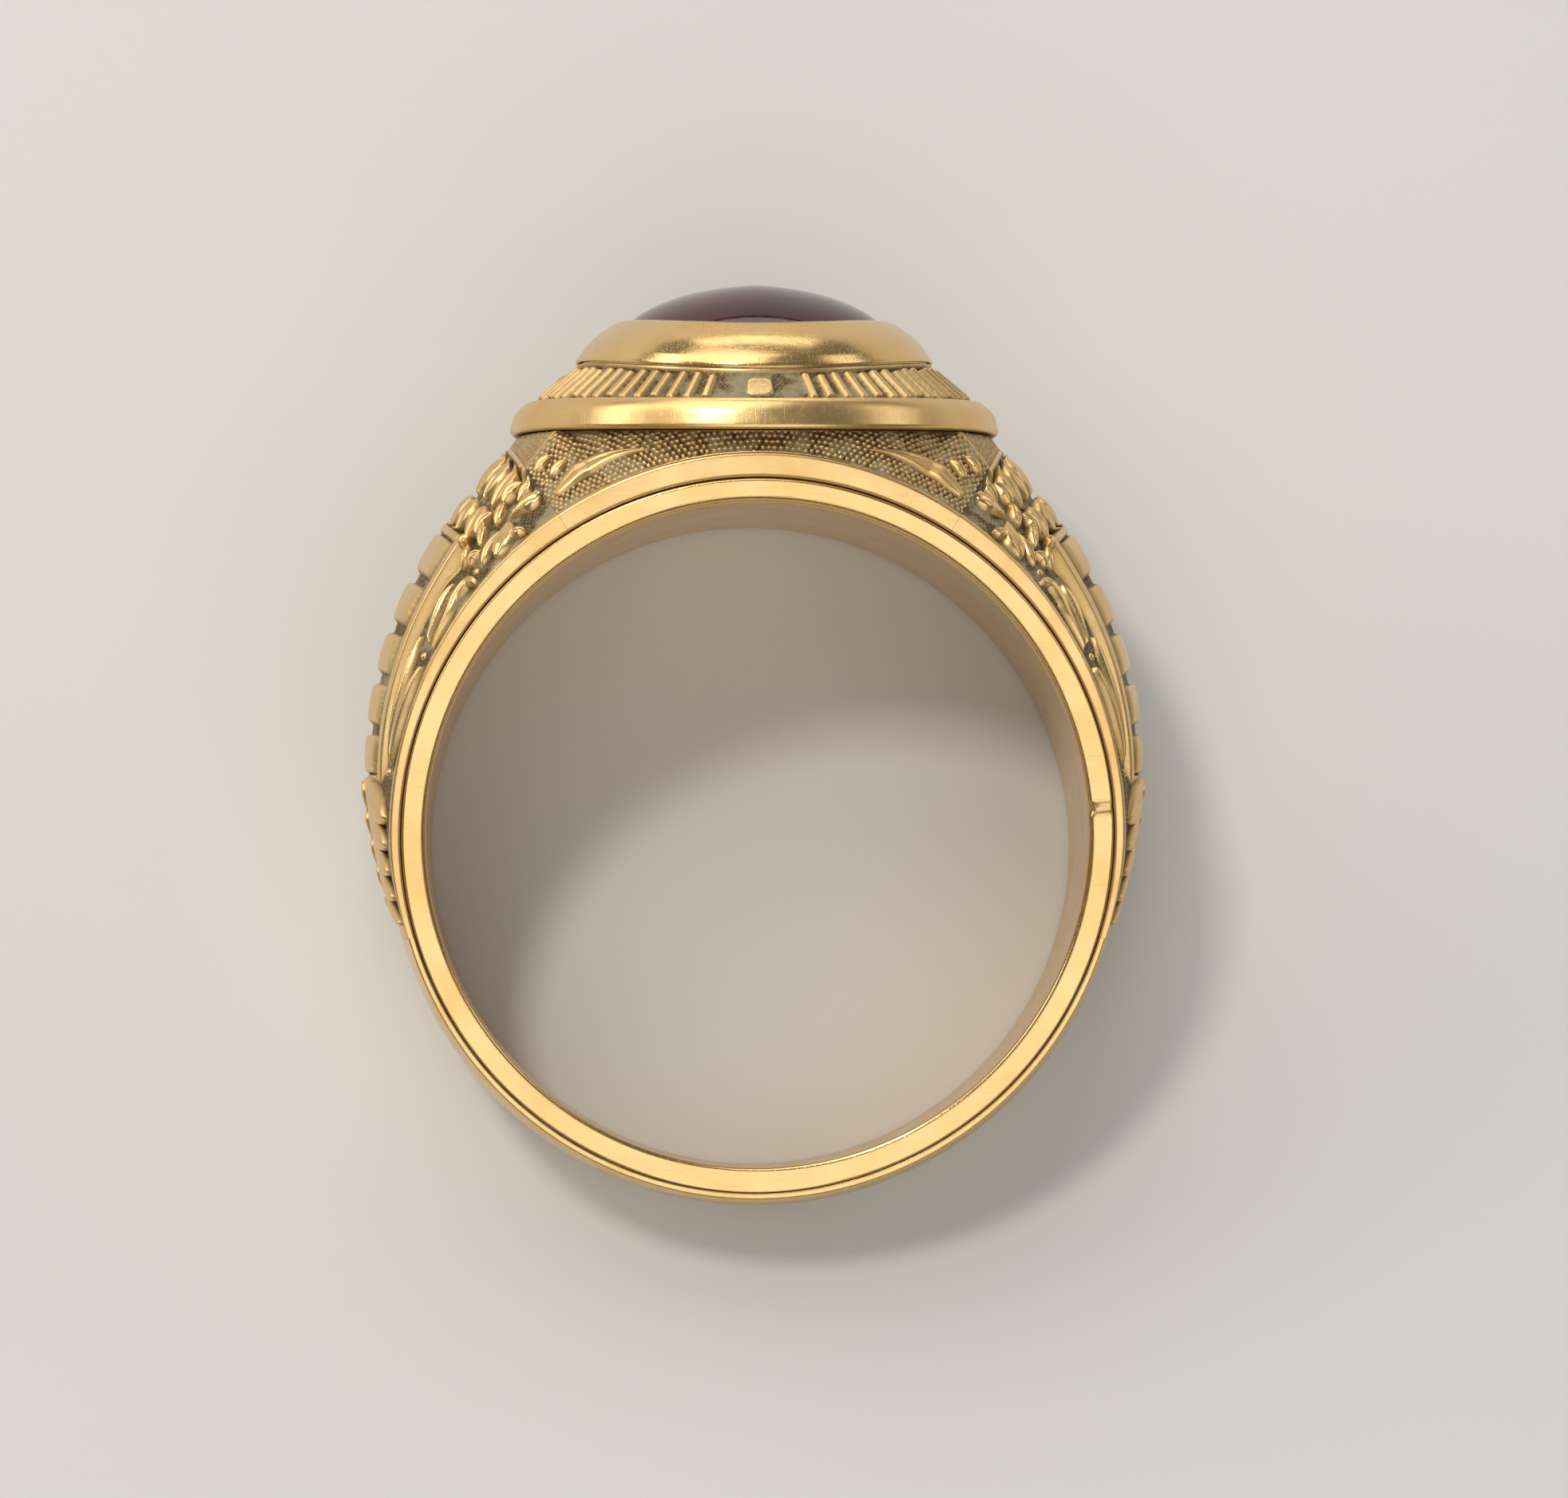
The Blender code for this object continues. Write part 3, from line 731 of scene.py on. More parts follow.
def lower_shank():
    """The half-round lower arc, worn smooth on its crown."""
    crown = SHANK_RADIUS - SHANK_LAND
    half = [
        (BAND_RADIUS, HALF_WIDTH, GROOVE_ROUND, 1, "face"),
        (SHANK_LAND, HALF_WIDTH, 0.07, 4, "crown"),
        (SHANK_LAND + 0.50 * crown, HALF_WIDTH * 0.84, 0.5, 4, "crown"),
        (SHANK_LAND + 0.88 * crown, HALF_WIDTH * 0.50, 0.7, 4, "crown"),
        (SHANK_RADIUS, HALF_WIDTH * 0.08, 0.3, 2, "crown"),
    ]
    section = outline(mirrored(half, 6), arc=4)
    start, end = 180.0 - SHOULDER_START + JOINT_ANGLE, 360.0 + SHOULDER_START - JOINT_ANGLE
    sections = []
    steps = 260
    for i in range(steps + 1):
        angle = start + (end - start) * i / steps
        row = []
        for point, _side, _share in section:
            y = point.x * math.sin(math.radians(angle))
            z = point.y * side_face(y) / HALF_WIDTH
            deep = 0.6 if point.x < BAND_RADIUS + 0.03 else 0.0
            row.append((at_angle(angle, point.x, z), deep))
        sections.append(row)
    bm = skin(sections, False)
    show(bm, "lower_shank", finish("yellow_gold_worn"), "shank_base")


def panel_height(angle, z, border, depth, pitch):
    """Height over the crown, and recess, of the framed panel: plain cushions on a punched ground."""
    inside = smooth((angle - PANEL_START - 0.4) / 0.5) * smooth((PANEL_END - 0.3 - angle) / 0.5)
    if inside <= 0.0:
        return -crown_drop(angle), 0.0
    pitch_angle = (PANEL_END - PANEL_START) / BLOCKS
    place = ((angle - PANEL_START) / pitch_angle) % 1.0
    half_z = border - BORDER_WIDTH - CUSHION_MARGIN
    along = abs(place - 0.5) / 0.40
    sideways = abs(z) / half_z
    lift = smooth((1.0 - along) * 8.0) * smooth((1.0 - sideways) * 12.0)
    cushion = CUSHION_RISE - CUSHION_RISE * along**4 - 0.05 * sideways**6
    grain_top = grains(angle * DEGREE, z, pitch)
    ground = depth * grain_top - PANEL_DEPTH * relief(angle)
    height = ground + (cushion - ground) * lift
    # The ground between the cushions takes the dark mix, lighter on grain tops: tarnish and painted
    # shade.
    return height * inside, (1.0 - lift) * inside * (0.9 - 0.3 * max(grain_top, 0.0))


def crown_leaves(bm, height):
    """Two rows of pointed leaves between panel and head, and a laurel that runs down the shank."""
    for start, end, count, rise in ((50.8, 45.6, 7, 1.2), (57.1, 51.2, 8, 1.3)):
        border = PANEL_SHARE * side_face(crown_radius(end) * math.sin(math.radians(end)))
        for i in range(count):
            z = border * 0.94 * (2.0 * i / (count - 1) - 1.0)
            spine = [(start, 0.94 * z), (0.5 * (start + end), z), (end, 1.03 * z)]
            width = 2.1 * border / count
            blade(bm, crown_ground, spine, width, rise * height, 0.8, 0.35, (20, 12))
    for i in range(LAUREL_ROWS):
        angle = LAUREL_START - LAUREL_PITCH * i
        size = 1.0 - 0.10 * i
        for ground in (low_ground, opposite(low_ground)):
            spine = [
                (angle + 1.0, 0.95),
                (angle - 0.8, 0.66),
                (angle - 2.8, 0.36),
                (angle - 4.6, 0.10),
            ]
            blade(bm, ground, spine, 1.15 * size, 0.95 * height * size, 0.9, 0.35, (24, 12))
        spine = [(angle + 1.4, 0.0), (angle - 0.6, 0.0), (angle - 3.2, 0.0)]
        blade(bm, crown_ground, spine, 0.62 * size, 0.9 * height * size, 0.8, 0.35, (18, 10))


def shoulder_section(angle, depth, pitch):
    """One fine section of a shoulder, as (point, recess) pairs."""
    turn = math.sin(math.radians(angle))
    rail, crown = rail_radius(angle), crown_radius(angle)
    foot, head = slope_ends(angle)
    border = head.y - LEAN
    deep = relief(angle)
    inner = border - BORDER_WIDTH
    drop = min(crown_drop(angle), crown - camber(border) - head.x - LEAN)
    sunk = PANEL_DEPTH * deep if PANEL_START < angle < PANEL_END else 0.0
    half = [
        (BAND_RADIUS, side_face(BAND_RADIUS * turn), GROOVE_ROUND, 1, "rail"),
        (rail, side_face(rail * turn), 0.09, 3, "wall"),
        (foot.x, foot.y, 0.05, 54, "slope"),
        (head.x, head.y, 0.02, 3, "strip"),
        (crown - camber(border) - drop, border, 0.07, 1, "border"),
        (crown - camber(inner) - drop, inner, 0.07, 2, "border"),
        (crown - camber(inner) - max(drop, sunk), inner - 0.06, 0.02, 72, "panel"),
    ]
    walked = outline(mirrored(half, 6), arc=4)
    places = [point for point, _side, _share in walked]
    length = (head - foot).length
    row = []
    for i, (point, side, share) in enumerate(walked):
        recess = 0.0
        radius, z = point
        if side == "slope":
            top = grains(angle * DEGREE, share * length, pitch)
            out = across(places, i)
            if out.x < 0.0:
                out = -out
            fade = smooth(min(share, 1.0 - share) * 8.0)
            radius, z = point + out * (depth * deep * top * fade)
            # The punched slope takes the dark mix, lighter on grain tops: tarnish and painted shade.
            recess = deep * (0.95 - 0.35 * max(top, 0.0))
        elif side == "panel" or (side == "corner" and abs(z) < inner - 0.03):
            rise, recess = panel_height(angle, z, border, depth, pitch)
            if drop > 0.0:
                top = grains(angle * DEGREE, z, pitch)
                rise += depth * top * smooth(drop / 0.05)
                # The dropped crown's ground takes the dark mix: tarnish and painted shade.
                recess = 0.9 * smooth(drop / 0.05) * (1.0 - 0.35 * max(top, 0.0))
            radius = crown - camber(z) + rise
        elif side == "wall":
            # The step's wall takes the dark mix: tarnish and painted shade.
            recess = 0.6
        row.append((at_angle(angle, radius, z), recess))
    return row


def edge_ground(angle, share):
    """The ledge from the upper slope onto the crown, for the leaves that lap over it."""
    foot, head = slope_ends(angle)
    start = foot.lerp(head, 0.62)
    z = head.y - 0.75
    end = Vector((crown_radius(angle) - camber(z) - 0.06, z))
    return start.lerp(end, share)


def slope_ground(angle, share):
    """The slope between the side rail and the bright strip."""
    foot, head = slope_ends(angle)
    return foot.lerp(head, share)


def opposite(ground):
    """The same ground on the other side face."""

    def mirrored_ground(angle, share):
        radius, z = ground(angle, share)
        return Vector((radius, -z))

    return mirrored_ground


def crown_ground(angle, z):
    """The crown of a shoulder, beyond the two ends of its panel."""
    return Vector((crown_radius(angle) - camber(z) - crown_drop(angle), z))


def low_ground(angle, share):
    """The rounded surface from the foot of the slope to the middle of the crown."""
    foot, head = slope_ends(angle)
    middle = crown_ground(angle, 0.0)
    over = Vector((head.x + 0.16, head.y))
    return foot.lerp(over, share).lerp(over.lerp(middle, share), share)


def shoulders():
    """Both swelling shoulders, with framed crown panels and the lowest struck leaves."""
    sizes = bpy.context.scene.ring_sizes
    depth, pitch = sizes.stipple_depth / MM, sizes.stipple_pitch / MM
    start, end = SHOULDER_START + JOINT_ANGLE, SHOULDER_END - JOINT_ANGLE
    steps = 330
    for side in ("right", "left"):
        sections = []
        for i in range(steps + 1):
            sections.append(shoulder_section(start + (end - start) * i / steps, depth, pitch))
        bm = skin(sections, False)
        crown_leaves(bm, sizes.leaf_height / MM)
        if side == "left":
            flip_sideways(bm)
        look = finish("yellow_gold_antiqued_and_shaded")
        show(bm, "carved_shoulder_" + side, look, "shoulder_" + side)


def spray(bm, ground, edge, height):
    """The leaves of one side of a shoulder, from the open flower down to the long scrolls."""
    for spine, width, fat in (
        ([(52.2, 0.57), (55.0, 0.54), (57.7, 0.42)], 0.66, 1.5),
        ([(54.4, 0.72), (56.2, 0.78), (57.8, 0.80)], 0.52, 1.3),
        ([(50.0, 0.68), (51.6, 0.80), (53.2, 0.97)], 0.44, 1.0),
        ([(52.0, 0.54), (49.8, 0.28), (46.8, 0.08)], 0.80, 1.2),
        ([(50.6, 0.26), (51.6, 0.15), (52.8, 0.08)], 0.36, 1.0),
        ([(50.2, 0.50), (47.6, 0.40), (44.6, 0.24)], 0.38, 1.3),
        ([(49.2, 0.98), (47.9, 0.80), (46.4, 0.62)], 0.40, 1.0),
        ([(45.6, 0.98), (44.0, 0.84), (42.2, 0.78)], 0.42, 0.9),
        ([(46.0, 0.52), (44.6, 0.60), (43.2, 0.56)], 0.34, 1.0),
        ([(42.2, 0.08), (41.2, 0.24), (38.8, 0.24), (35.4, 0.13), (29.6, 0.07)], 0.44, 0.75),
        ([(40.2, 0.60), (37.2, 0.57), (34.4, 0.48), (30.4, 0.34)], 0.38, 0.8),
        ([(27.4, 0.10), (22.4, 0.10), (16.4, 0.11), (11.2, 0.16)], 0.40, 0.8),
        ([(31.6, 0.74), (25.0, 0.62), (18.0, 0.54), (12.0, 0.52)], 0.42, 0.8),
    ):
        blade(bm, ground, spine, width, height, fat, 0.22, (24, 10))
    for spine, width in (
        ([(56.6, 0.42), (54.6, 0.46), (52.6, 0.36)], 0.56),
        ([(51.0, 0.40), (49.0, 0.46), (47.0, 0.34)], 0.50),
        ([(46.4, 0.50), (45.4, 0.52), (44.4, 0.50)], 0.52),
    ):
        blade(bm, edge, spine, width, height, 1.1, 0.2)
    for angle, share in ((53.4, 0.66), (43.4, 0.34), (28.6, 0.30), (10.2, 0.48)):
        bead(bm, ground, angle, share, 0.13)


def leaf_sprays():
    """The four sprays of leaves on the slopes of the shoulders."""
    height = bpy.context.scene.ring_sizes.leaf_height / MM
    for side in ("right", "left"):
        for face in ("front", "back"):
            bm = bmesh.new()
            bm.verts.layers.float.new("recess")
            ground, edge = slope_ground, edge_ground
            if face == "back":
                ground, edge = opposite(ground), opposite(edge)
            spray(bm, ground, edge, height)
            if side == "left":
                flip_sideways(bm)
            node = f"leaf_spray_{side}_{face}"
            show(bm, f"leaves_{side}_{face}", finish("yellow_gold_worn"), node)


def gallery_ends(angle):
    """Foot and top of the cove, and the reach of the gallery's top, at an angle."""
    turn = math.sin(math.radians(angle))
    rail = rail_radius(angle)
    out = GALLERY_TOP / math.tan(math.radians(angle)) if angle != 90.0 else 0.0
    under = FRAME_RADIUS - 0.31
    share = math.sqrt(max(1.0 - (out / under) ** 2, 0.0))
    joint = PANEL_SHARE * side_face(GALLERY_TOP - 0.2)
    reach = max(joint, (oval_reach(under) - 0.30) * share)
    inward = min(angle, 180.0 - angle) - SHOULDER_END
    most = crown_radius(SHOULDER_END) + GALLERY_RISE * inward

    def top(z):
        return min((GALLERY_TOP - SAG_LOW * z * z) / turn, most - camber(z))

    foot = Vector((rail + LEAN, side_face(rail * turn) - RAIL_STEP))
    return foot, Vector((top(reach), reach)), top


def cove_ground(angle, share):
    """The hollow surface between the arch's rail and the head."""
    foot, high, _top = gallery_ends(angle)
    hollow = COVE_HOLLOW * smooth((min(angle, 180.0 - angle) - SHOULDER_END) / 7.0)
    middle = (foot + high) / 2 - Vector((0.0, hollow))
    return foot.lerp(middle, share).lerp(middle.lerp(high, share), share)


def gallery_section(angle, depth, pitch):
    turn = math.sin(math.radians(angle))
    rail = rail_radius(angle)
    foot, high, top = gallery_ends(angle)
    half = [
        (BAND_RADIUS, side_face(BAND_RADIUS * turn), GROOVE_ROUND, 1, "rail"),
        (rail, side_face(rail * turn), 0.10, 3, "wall"),
        (foot.x, foot.y, 0.04, 60, "cove"),
        (high.x, high.y, 0.04, 90, "top"),
    ]
    row = []
    for point, side, share in outline(mirrored(half, 6), arc=4):
        radius, z = point
        recess = 0.0
        if side == "cove":
            share = share if z > 0.0 else 1.0 - share
            spot = cove_ground(angle, share)
            step = cove_ground(angle, share + 0.02) - cove_ground(angle, share - 0.02)
            out = Vector((-step.y, step.x)).normalized()
            out = out if out.y > 0.0 else -out
            fade = smooth(min(share, 1.0 - share) * 9.0)
            worn = grains(angle * DEGREE, share * (high - foot).length, 1.2 * pitch)
            spot = spot + out * (1.6 * depth * worn * fade)
            radius, z = spot.x, math.copysign(spot.y, z)
            # The grained cove takes the dark mix, lighter on grain tops: tarnish and painted shade.
            recess = 0.75 - 0.75 * max(worn, 0.0)
        elif side == "top":
            worn = grains(angle * DEGREE, z, pitch)
            radius = top(z) - depth * (1.0 - worn)
            # The gallery's grained top takes the dark mix, lighter on grain tops: tarnish and painted
            # shade.
            recess = 0.6 - 0.6 * max(worn, 0.0)
        elif side == "wall":
            # The step's wall takes the dark mix: tarnish and painted shade.
            recess = 0.7
        row.append((at_angle(angle, radius, z), recess))
    return row


def cove_share(angle, radius):
    """The share of the way up the cove at which it has a radius."""
    low, high = 0.0, 1.0
    for _ in range(24):
        middle = (low + high) / 2
        if cove_ground(angle, middle).x < radius:
            low = middle
        else:
            high = middle
    return low


def gallery_leaves(bm, ground, height, flip):
    """The long crescent leaf that climbs the cove from a shoulder, and its small companions."""
    for spine, width, fat in (
        (
            [(59.0, 10.80), (62.0, 10.98), (65.0, 11.09), (68.0, 11.12), (71.0, 11.07), (74.5, 10.94)],
            0.62,
            0.75,
        ),
        ([(60.0, 11.34), (61.6, 11.46), (63.2, 11.52)], 0.42, 0.9),
        ([(58.6, 11.66), (60.0, 11.80), (61.6, 11.86)], 0.42, 0.9),
    ):
        points = []
        for angle, radius in spine:
            points.append((180.0 - angle if flip else angle, cove_share(angle, radius)))
        blade(bm, ground, points, width, height, fat, 0.15, (40, 10))


def stippled_gallery():
    """The arch over the finger: a broad polished rail, a grained cove and its crescent leaves."""
    sizes = bpy.context.scene.ring_sizes
    depth, pitch = sizes.stipple_depth / MM, sizes.stipple_pitch / MM
    start, end = SHOULDER_END + JOINT_ANGLE, 180.0 - SHOULDER_END - JOINT_ANGLE
    steps = 300
    sections = []
    for i in range(steps + 1):
        sections.append(gallery_section(start + (end - start) * i / steps, depth, pitch))
    bm = skin(sections, False)
    for ground in (cove_ground, opposite(cove_ground)):
        for flip in (False, True):
            gallery_leaves(bm, ground, 0.8 * sizes.leaf_height / MM, flip)
    look = finish("yellow_gold_antiqued_and_shaded")
    show(bm, "stippled_gallery", look, "head_gallery")


def band_height(turn, share, bar_height, depth, pitch):
    """Height over the sunk band of the head: upright bars, and a bright lozenge at each quarter."""
    between = BAND_SLOTS // 4
    place = (turn / (2.0 * math.pi) * BAND_SLOTS) % BAND_SLOTS
    slot = round(place) % BAND_SLOTS
    quarter = min(slot % between, between - slot % between)
    off = abs(place - round(place))
    grain_top = grains(place * 0.5, share * 1.7, pitch)
    lift = 0.0
    if quarter < 2:
        wide = abs(place - between * round(place / between)) / LOZENGE_HALF_SLOTS
        reach = wide**4 + (abs(share - 0.56) / LOZENGE_HALF_HEIGHT) ** 4
        lift = smooth((1.0 - reach) * 2.0)
    elif quarter > 2:
        short = 0.43 if slot % 3 else 0.38
        along = smooth((short + 0.03 - abs(share - 0.52)) / 0.06)
        lift = along * smooth((0.34 - off) / 0.20)
    ends = smooth(min(share, 1.0 - share) / 0.05)
    ground = 0.6 * depth * grain_top - bar_height
    # The ground between the bars takes the dark mix, lighter on grain tops: tarnish and painted shade.
    recess = (1.0 - lift) * (0.9 - 0.3 * max(grain_top, 0.0))
    return ends * (ground + (0.05 - ground) * lift), ends * recess


def barred_frame():
    """The head's frame: a sunk sloping band of upright bars above a broad polished rail."""
    sizes = bpy.context.scene.ring_sizes
    bar_height = sizes.bar_height / MM
    depth, pitch = sizes.stipple_depth / MM, sizes.stipple_pitch / MM
    corners = [
        (SOCKET_RADIUS, FRAME_TOP, 0.02, 1, "lip"),
        (COLLAR_RADIUS + SKIRT - 0.04, FRAME_TOP, 0.04, 40, "band"),
        (FRAME_RADIUS - 0.60, FRAME_BASE + 0.84, 0.05, 2, "rail"),
        (FRAME_RADIUS - 0.50, FRAME_BASE + 0.92, 0.06, 4, "rail"),
        (FRAME_RADIUS - 0.12, FRAME_BASE + 0.62, 0.20, 4, "rail"),
        (FRAME_RADIUS, FRAME_BASE + 0.10, 0.16, 2, "rail"),
        (FRAME_RADIUS - 0.10, FRAME_BASE, 0.08, 6, "under"),
        (BORE_RADIUS, FRAME_BASE, 0.03, 3, "bore"),
        (BORE_RADIUS, LEDGE, 0.03, 3, "ledge"),
        (SOCKET_RADIUS, LEDGE, 0.03, 3, "socket"),
    ]
    section = outline(corners, arc=4)
    high, low = Vector(corners[1][:2]), Vector(corners[2][:2])
    out = Vector((high.y - low.y, low.x - high.x)).normalized()
    sections = []
    steps = 912
    for i in range(steps + 1):
        turn = 2.0 * math.pi * (i % steps) / steps
        row = []
        for point, side, share in section:
            recess = 0.0
            if side == "band":
                rise, recess = band_height(turn - math.pi / 2, share, bar_height, depth, pitch)
                point = point + out * rise
            spot = Vector((point.x * math.cos(turn), point.y, point.x * math.sin(turn)))
            row.append((spot, recess))
        sections.append(row)
    bm = skin(sections, True)
    oval(bm)
    show(bm, "barred_frame", finish("yellow_gold_antiqued_and_shaded"), "bezel_frame")


def turned(profile, steps, ring):
    """A head piece spun round the head's axis from its (half width, height) profile.

    A ring's profile is closed; the other one starts and ends on the axis.
    """
    bm = bmesh.new()
    bm.verts.layers.float.new("recess")
    verts = [bm.verts.new((radius, height, 0.0)) for radius, height in profile]
    after = verts[1:] + (verts[:1] if ring else [])
    edges = [bm.edges.new(pair) for pair in zip(verts, after)]
    bmesh.ops.spin(
        bm,
        geom=verts + edges,
        cent=(0, 0, 0),
        axis=(0, 1, 0),
        angle=math.radians(360),
        steps=steps,
        use_merge=True,
    )
    bmesh.ops.remove_doubles(bm, verts=bm.verts, dist=2e-4)
    oval(bm)
    return bm


def dome(radius):
    """Height of the stone's dome at a half width."""
    share = min(radius / STONE_RADIUS, 1.0)
    return STONE_GIRDLE + DOME_HEIGHT * math.sqrt(1.0 - share * share)


def polished_collar():
    """The plain cone that closes over the stone, bulged a little and rounded at its lip."""
    inside = STONE_RADIUS + 0.06
    base, skirt = LEDGE + 0.05, FRAME_TOP + 0.05
    corners = [
        (inside, base, 0.03, 2, "inside"),
        (COLLAR_RADIUS, base, 0.03, 3, "outside"),
        (COLLAR_RADIUS, skirt, 0.01, 1, "under"),
        (COLLAR_RADIUS + SKIRT, skirt, 0.03, 1, "edge"),
        (COLLAR_RADIUS + SKIRT, skirt + 0.09, 0.05, 6, "cone"),
        (4.56, 14.04, 0.45, 6, "cone"),
        (LIP_RADIUS + 0.27, LIP_TOP - 0.03, 0.07, 2, "lip"),
        (LIP_RADIUS, LIP_TOP, 0.05, 1, "edge"),
        (LIP_RADIUS + 0.02, dome(LIP_RADIUS) + 0.06, 0.01, 2, "seat"),
        (inside, STONE_GIRDLE + 0.15, 0.03, 2, "inside"),
    ]
    profile = [tuple(point) for point, _side, _share in outline(corners, arc=5)]
    bm = turned(profile, 288, True)
    show(bm, "polished_collar", finish("yellow_gold_polished"), "bezel_collar")


def domed_stone():
    """The oval cabochon, flat underneath, with a small bevel at its girdle."""
    profile = [(0.0, STONE_BASE), (2.0, STONE_BASE), (STONE_RADIUS - 0.12, STONE_BASE)]
    profile += [(STONE_RADIUS - 0.03, STONE_BASE + 0.05), (STONE_RADIUS, STONE_BASE + 0.12)]
    profile += [(STONE_RADIUS, STONE_GIRDLE)]
    for k in range(1, 25):
        turn = math.radians(90.0 * k / 25)
        spot = (STONE_RADIUS * math.cos(turn), STONE_GIRDLE + DOME_HEIGHT * math.sin(turn))
        profile.append(spot)
    profile.append((0.0, STONE_GIRDLE + DOME_HEIGHT))
    bm = turned(profile, 144, False)
    show(bm, "domed_stone", dark_red_stone(), "stone")


def seat_and_foil():
    """Finishes for the bearing ring and the foil, whose solids are shown as they are."""
    for node, look in (
        ("stone_seat", finish("yellow_gold_worn")),
        ("stone_backing", bright_foil()),
    ):
        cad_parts[node].data.materials.clear()
        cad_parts[node].data.materials.append(look)


# --- stage -------------------------------------------------------------------------------------


def in_room(x, y, z):
    """A point of the ring's own frame, in millimetres, as a place in the room."""
    return IN_PLACE @ Vector((x, y, z))


def aimed(obj, where, target, up):
    """Put a lamp or the camera somewhere, looking at a target."""
    look = (target - where).normalized()
    right = look.cross(up.normalized()).normalized()
    rows = Matrix((right, right.cross(look), -look)).transposed()
    obj.matrix_world = Matrix.Translation(where) @ rows.to_4x4()
    bpy.context.scene.collection.objects.link(obj)


def lamp(name, where, target, size, power, colour):
    data = bpy.data.lights.new(name, "AREA")
    data.shape = "RECTANGLE"
    data.size, data.size_y = size
    data.energy = power
    data.color = colour
    aimed(bpy.data.objects.new(name, data), where, target, Vector((0.0, 1.0, 0.1)))


def stage():
    """Pale floor, soft lamps, even grey surroundings and the camera of the photograph."""
    scene = bpy.context.scene
    scene.view_settings.view_transform = "Standard"
    world = bpy.data.worlds.new("studio")
    scene.world = world
    world.use_nodes = True
    sky = world.node_tree.nodes["Background"].inputs
    sky["Color"].default_value = (0.80, 0.82, 0.85, 1.0)
    sky["Strength"].default_value = 0.20

    bm = bmesh.new()
    bmesh.ops.create_grid(bm, x_segments=8, y_segments=8, size=1.5)
    mesh = bpy.data.meshes.new("floor")
    bm.to_mesh(mesh)
    bm.free()
    mesh.materials.append(pale_floor())
    floor = bpy.data.objects.new("floor", mesh)
    scene.collection.objects.link(floor)

    middle = Vector((0.0, 0.0, 0.006))
    warm, plain = (1.0, 0.965, 0.91), (1.0, 0.99, 0.975)
    for name, where, size, power, colour in (
        ("key", (-0.10, 0.28, 0.30), (0.36, 0.28), 0.59, warm),
        ("overhead", (0.02, -0.26, 0.34), (0.50, 0.36), 0.72, plain),
        ("low_front", (0.0, 0.42, 0.09), (0.34, 0.12), 0.24, plain),
        ("left", (-0.34, 0.16, 0.16), (0.16, 0.34), 0.46, warm),
        ("right", (0.34, 0.16, 0.16), (0.16, 0.30), 0.20, plain),
        ("sparkle", (-0.14, 0.10, 0.40), (0.06, 0.06), 0.55, warm),
    ):
        lamp(name, Vector(where), middle, size, power, colour)

    data = bpy.data.cameras.new("camera")
    data.sensor_fit = "HORIZONTAL"
    data.sensor_width = 36.0
    data.lens = LENS
    data.clip_start = 0.01
    camera = bpy.data.objects.new("camera", data)
    up = in_room(0.0, 1.0, 0.0) - in_room(0.0, 0.0, 0.0)
    aimed(camera, in_room(*EYE), in_room(*LOOKED_AT), up)
    scene.camera = camera


# --- operators ---------------------------------------------------------------------------------


class RING_OT_inner_band(bpy.types.Operator):
    """Build the plain inner band"""

    bl_idname = "ring.inner_band"
    bl_label = "Inner band"

    def execute(self, context):
        inner_band()
        return {"FINISHED"}


class RING_OT_lower_shank(bpy.types.Operator):
    """Build the plain lower shank"""

    bl_idname = "ring.lower_shank"
    bl_label = "Lower shank"

    def execute(self, context):
        lower_shank()
        return {"FINISHED"}


class RING_OT_shoulders(bpy.types.Operator):
    """Build both carved shoulders"""

    bl_idname = "ring.shoulders"
    bl_label = "Shoulders"

    def execute(self, context):
        shoulders()
        return {"FINISHED"}


class RING_OT_leaf_sprays(bpy.types.Operator):
    """Build the four leaf sprays"""

    bl_idname = "ring.leaf_sprays"
    bl_label = "Leaf sprays"

    def execute(self, context):
        leaf_sprays()
        return {"FINISHED"}


class RING_OT_gallery(bpy.types.Operator):
    """Build the stippled gallery under the head"""

    bl_idname = "ring.gallery"
    bl_label = "Gallery"

    def execute(self, context):
        stippled_gallery()
        return {"FINISHED"}


class RING_OT_frame(bpy.types.Operator):
    """Build the barred frame of the head"""

    bl_idname = "ring.barred_frame"
    bl_label = "Frame"

    def execute(self, context):
        barred_frame()
        return {"FINISHED"}


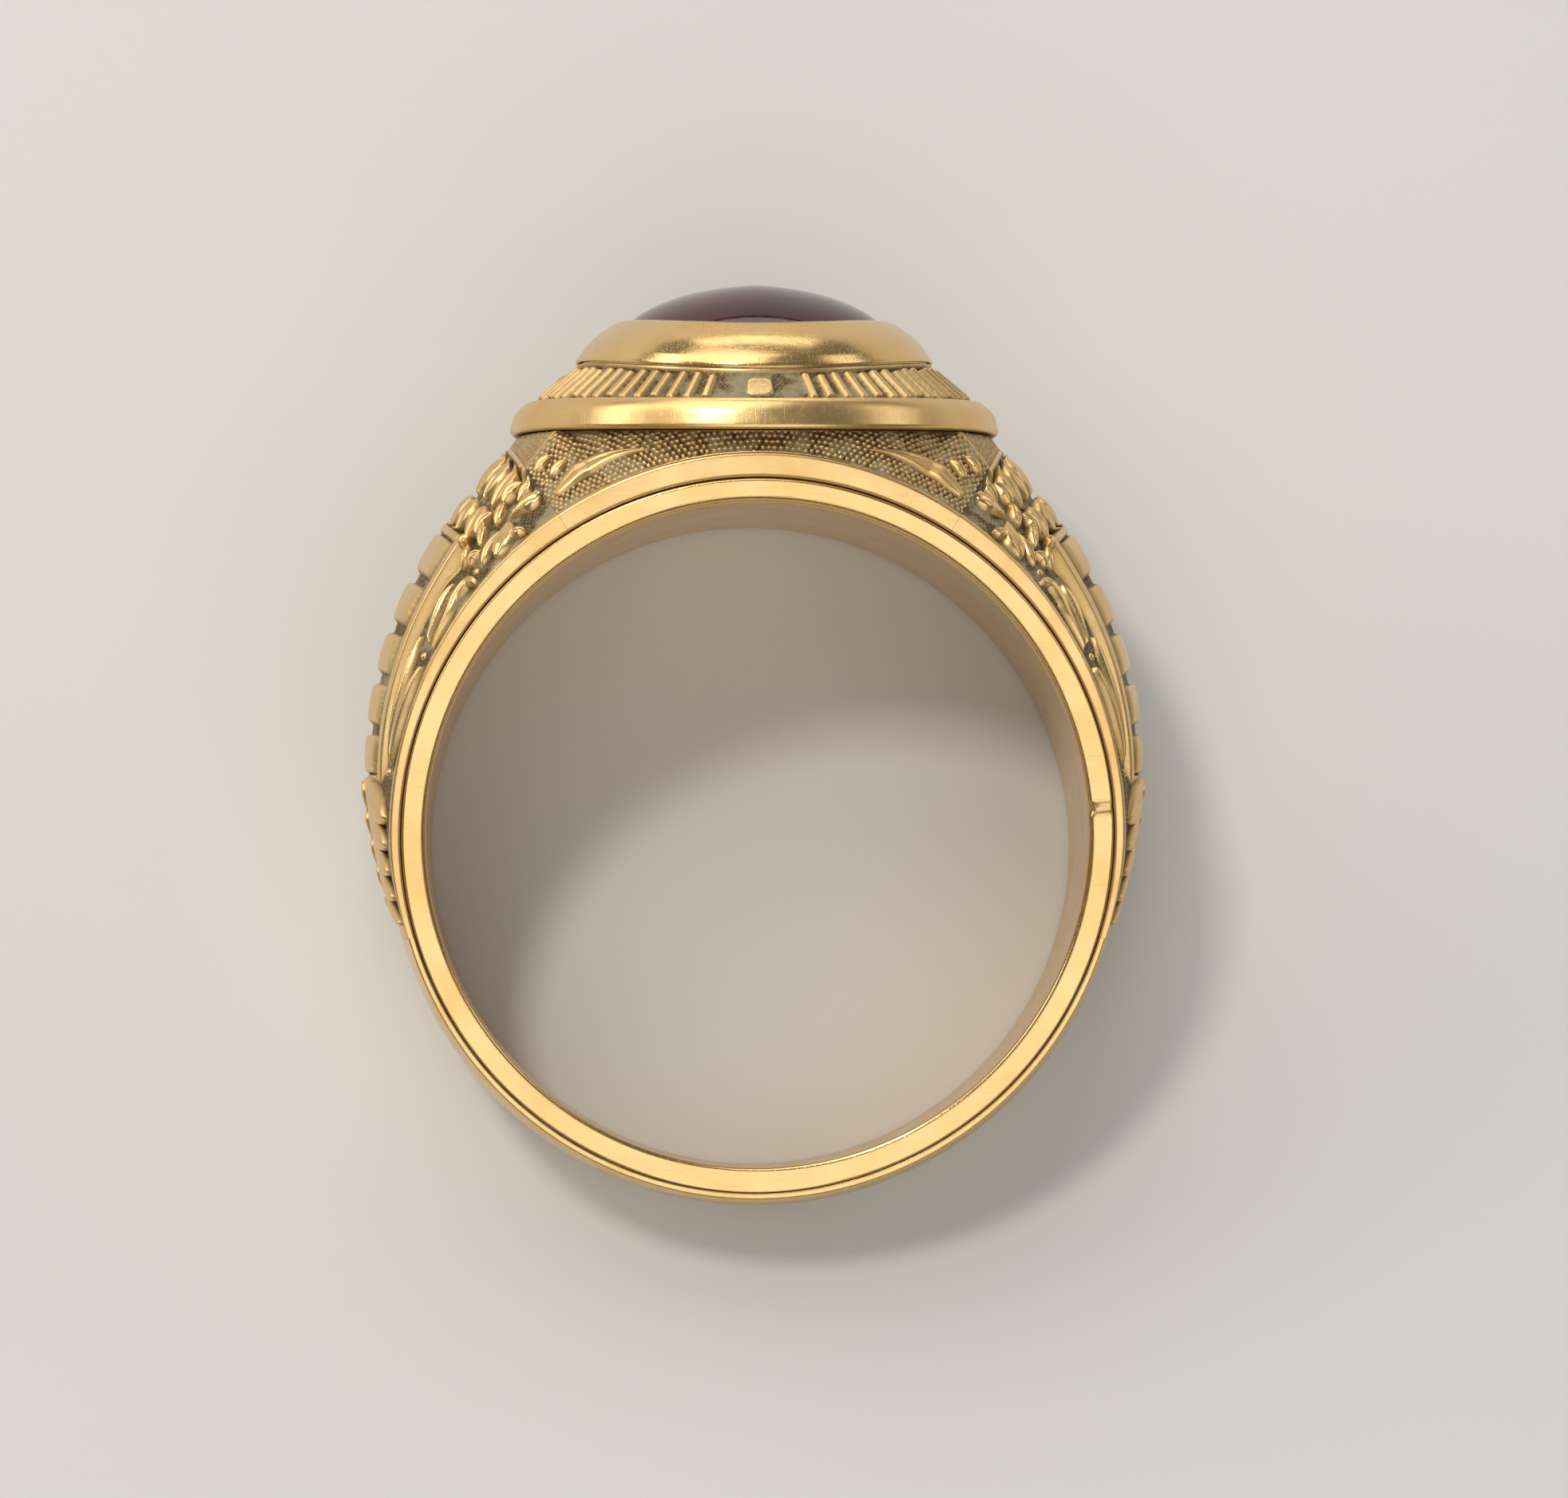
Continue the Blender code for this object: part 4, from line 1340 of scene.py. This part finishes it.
class RING_OT_collar(bpy.types.Operator):
    """Build the polished collar"""

    bl_idname = "ring.collar"
    bl_label = "Collar"

    def execute(self, context):
        polished_collar()
        return {"FINISHED"}


class RING_OT_stone(bpy.types.Operator):
    """Build the domed stone"""

    bl_idname = "ring.stone"
    bl_label = "Stone"

    def execute(self, context):
        domed_stone()
        return {"FINISHED"}


class RING_OT_seat_and_foil(bpy.types.Operator):
    """Finish the seat and the foil under the stone"""

    bl_idname = "ring.seat_and_foil"
    bl_label = "Seat and foil"

    def execute(self, context):
        seat_and_foil()
        return {"FINISHED"}


class RING_OT_stage(bpy.types.Operator):
    """Set up the floor, lamps and camera"""

    bl_idname = "ring.stage"
    bl_label = "Stage"

    def execute(self, context):
        stage()
        return {"FINISHED"}


OPERATORS = (
    RING_OT_stage,
    RING_OT_inner_band,
    RING_OT_lower_shank,
    RING_OT_shoulders,
    RING_OT_leaf_sprays,
    RING_OT_gallery,
    RING_OT_frame,
    RING_OT_collar,
    RING_OT_stone,
    RING_OT_seat_and_foil,
)


class RING_PT_panel(bpy.types.Panel):
    """Sizes, colours and build steps of the ring"""

    bl_label = "Oval signet ring"
    bl_space_type = "VIEW_3D"
    bl_region_type = "UI"
    bl_category = "Ring"

    def draw(self, context):
        for group in (context.scene.ring_sizes, context.scene.ring_colours):
            for name in group.__annotations__:
                self.layout.prop(group, name)
        for operator in OPERATORS:
            self.layout.operator(operator.bl_idname)


def register():
    for item in (RingSizes, RingColours, *OPERATORS, RING_PT_panel):
        bpy.utils.register_class(item)
    bpy.types.Scene.ring_sizes = PointerProperty(type=RingSizes)
    bpy.types.Scene.ring_colours = PointerProperty(type=RingColours)


def unregister():
    del bpy.types.Scene.ring_colours
    del bpy.types.Scene.ring_sizes
    for item in (RING_PT_panel, *reversed(OPERATORS), RingColours, RingSizes):
        bpy.utils.unregister_class(item)


def main():
    register()
    for operator in OPERATORS:
        group, name = operator.bl_idname.split(".")
        getattr(getattr(bpy.ops, group), name)()


if __name__ == "__main__":
    main()
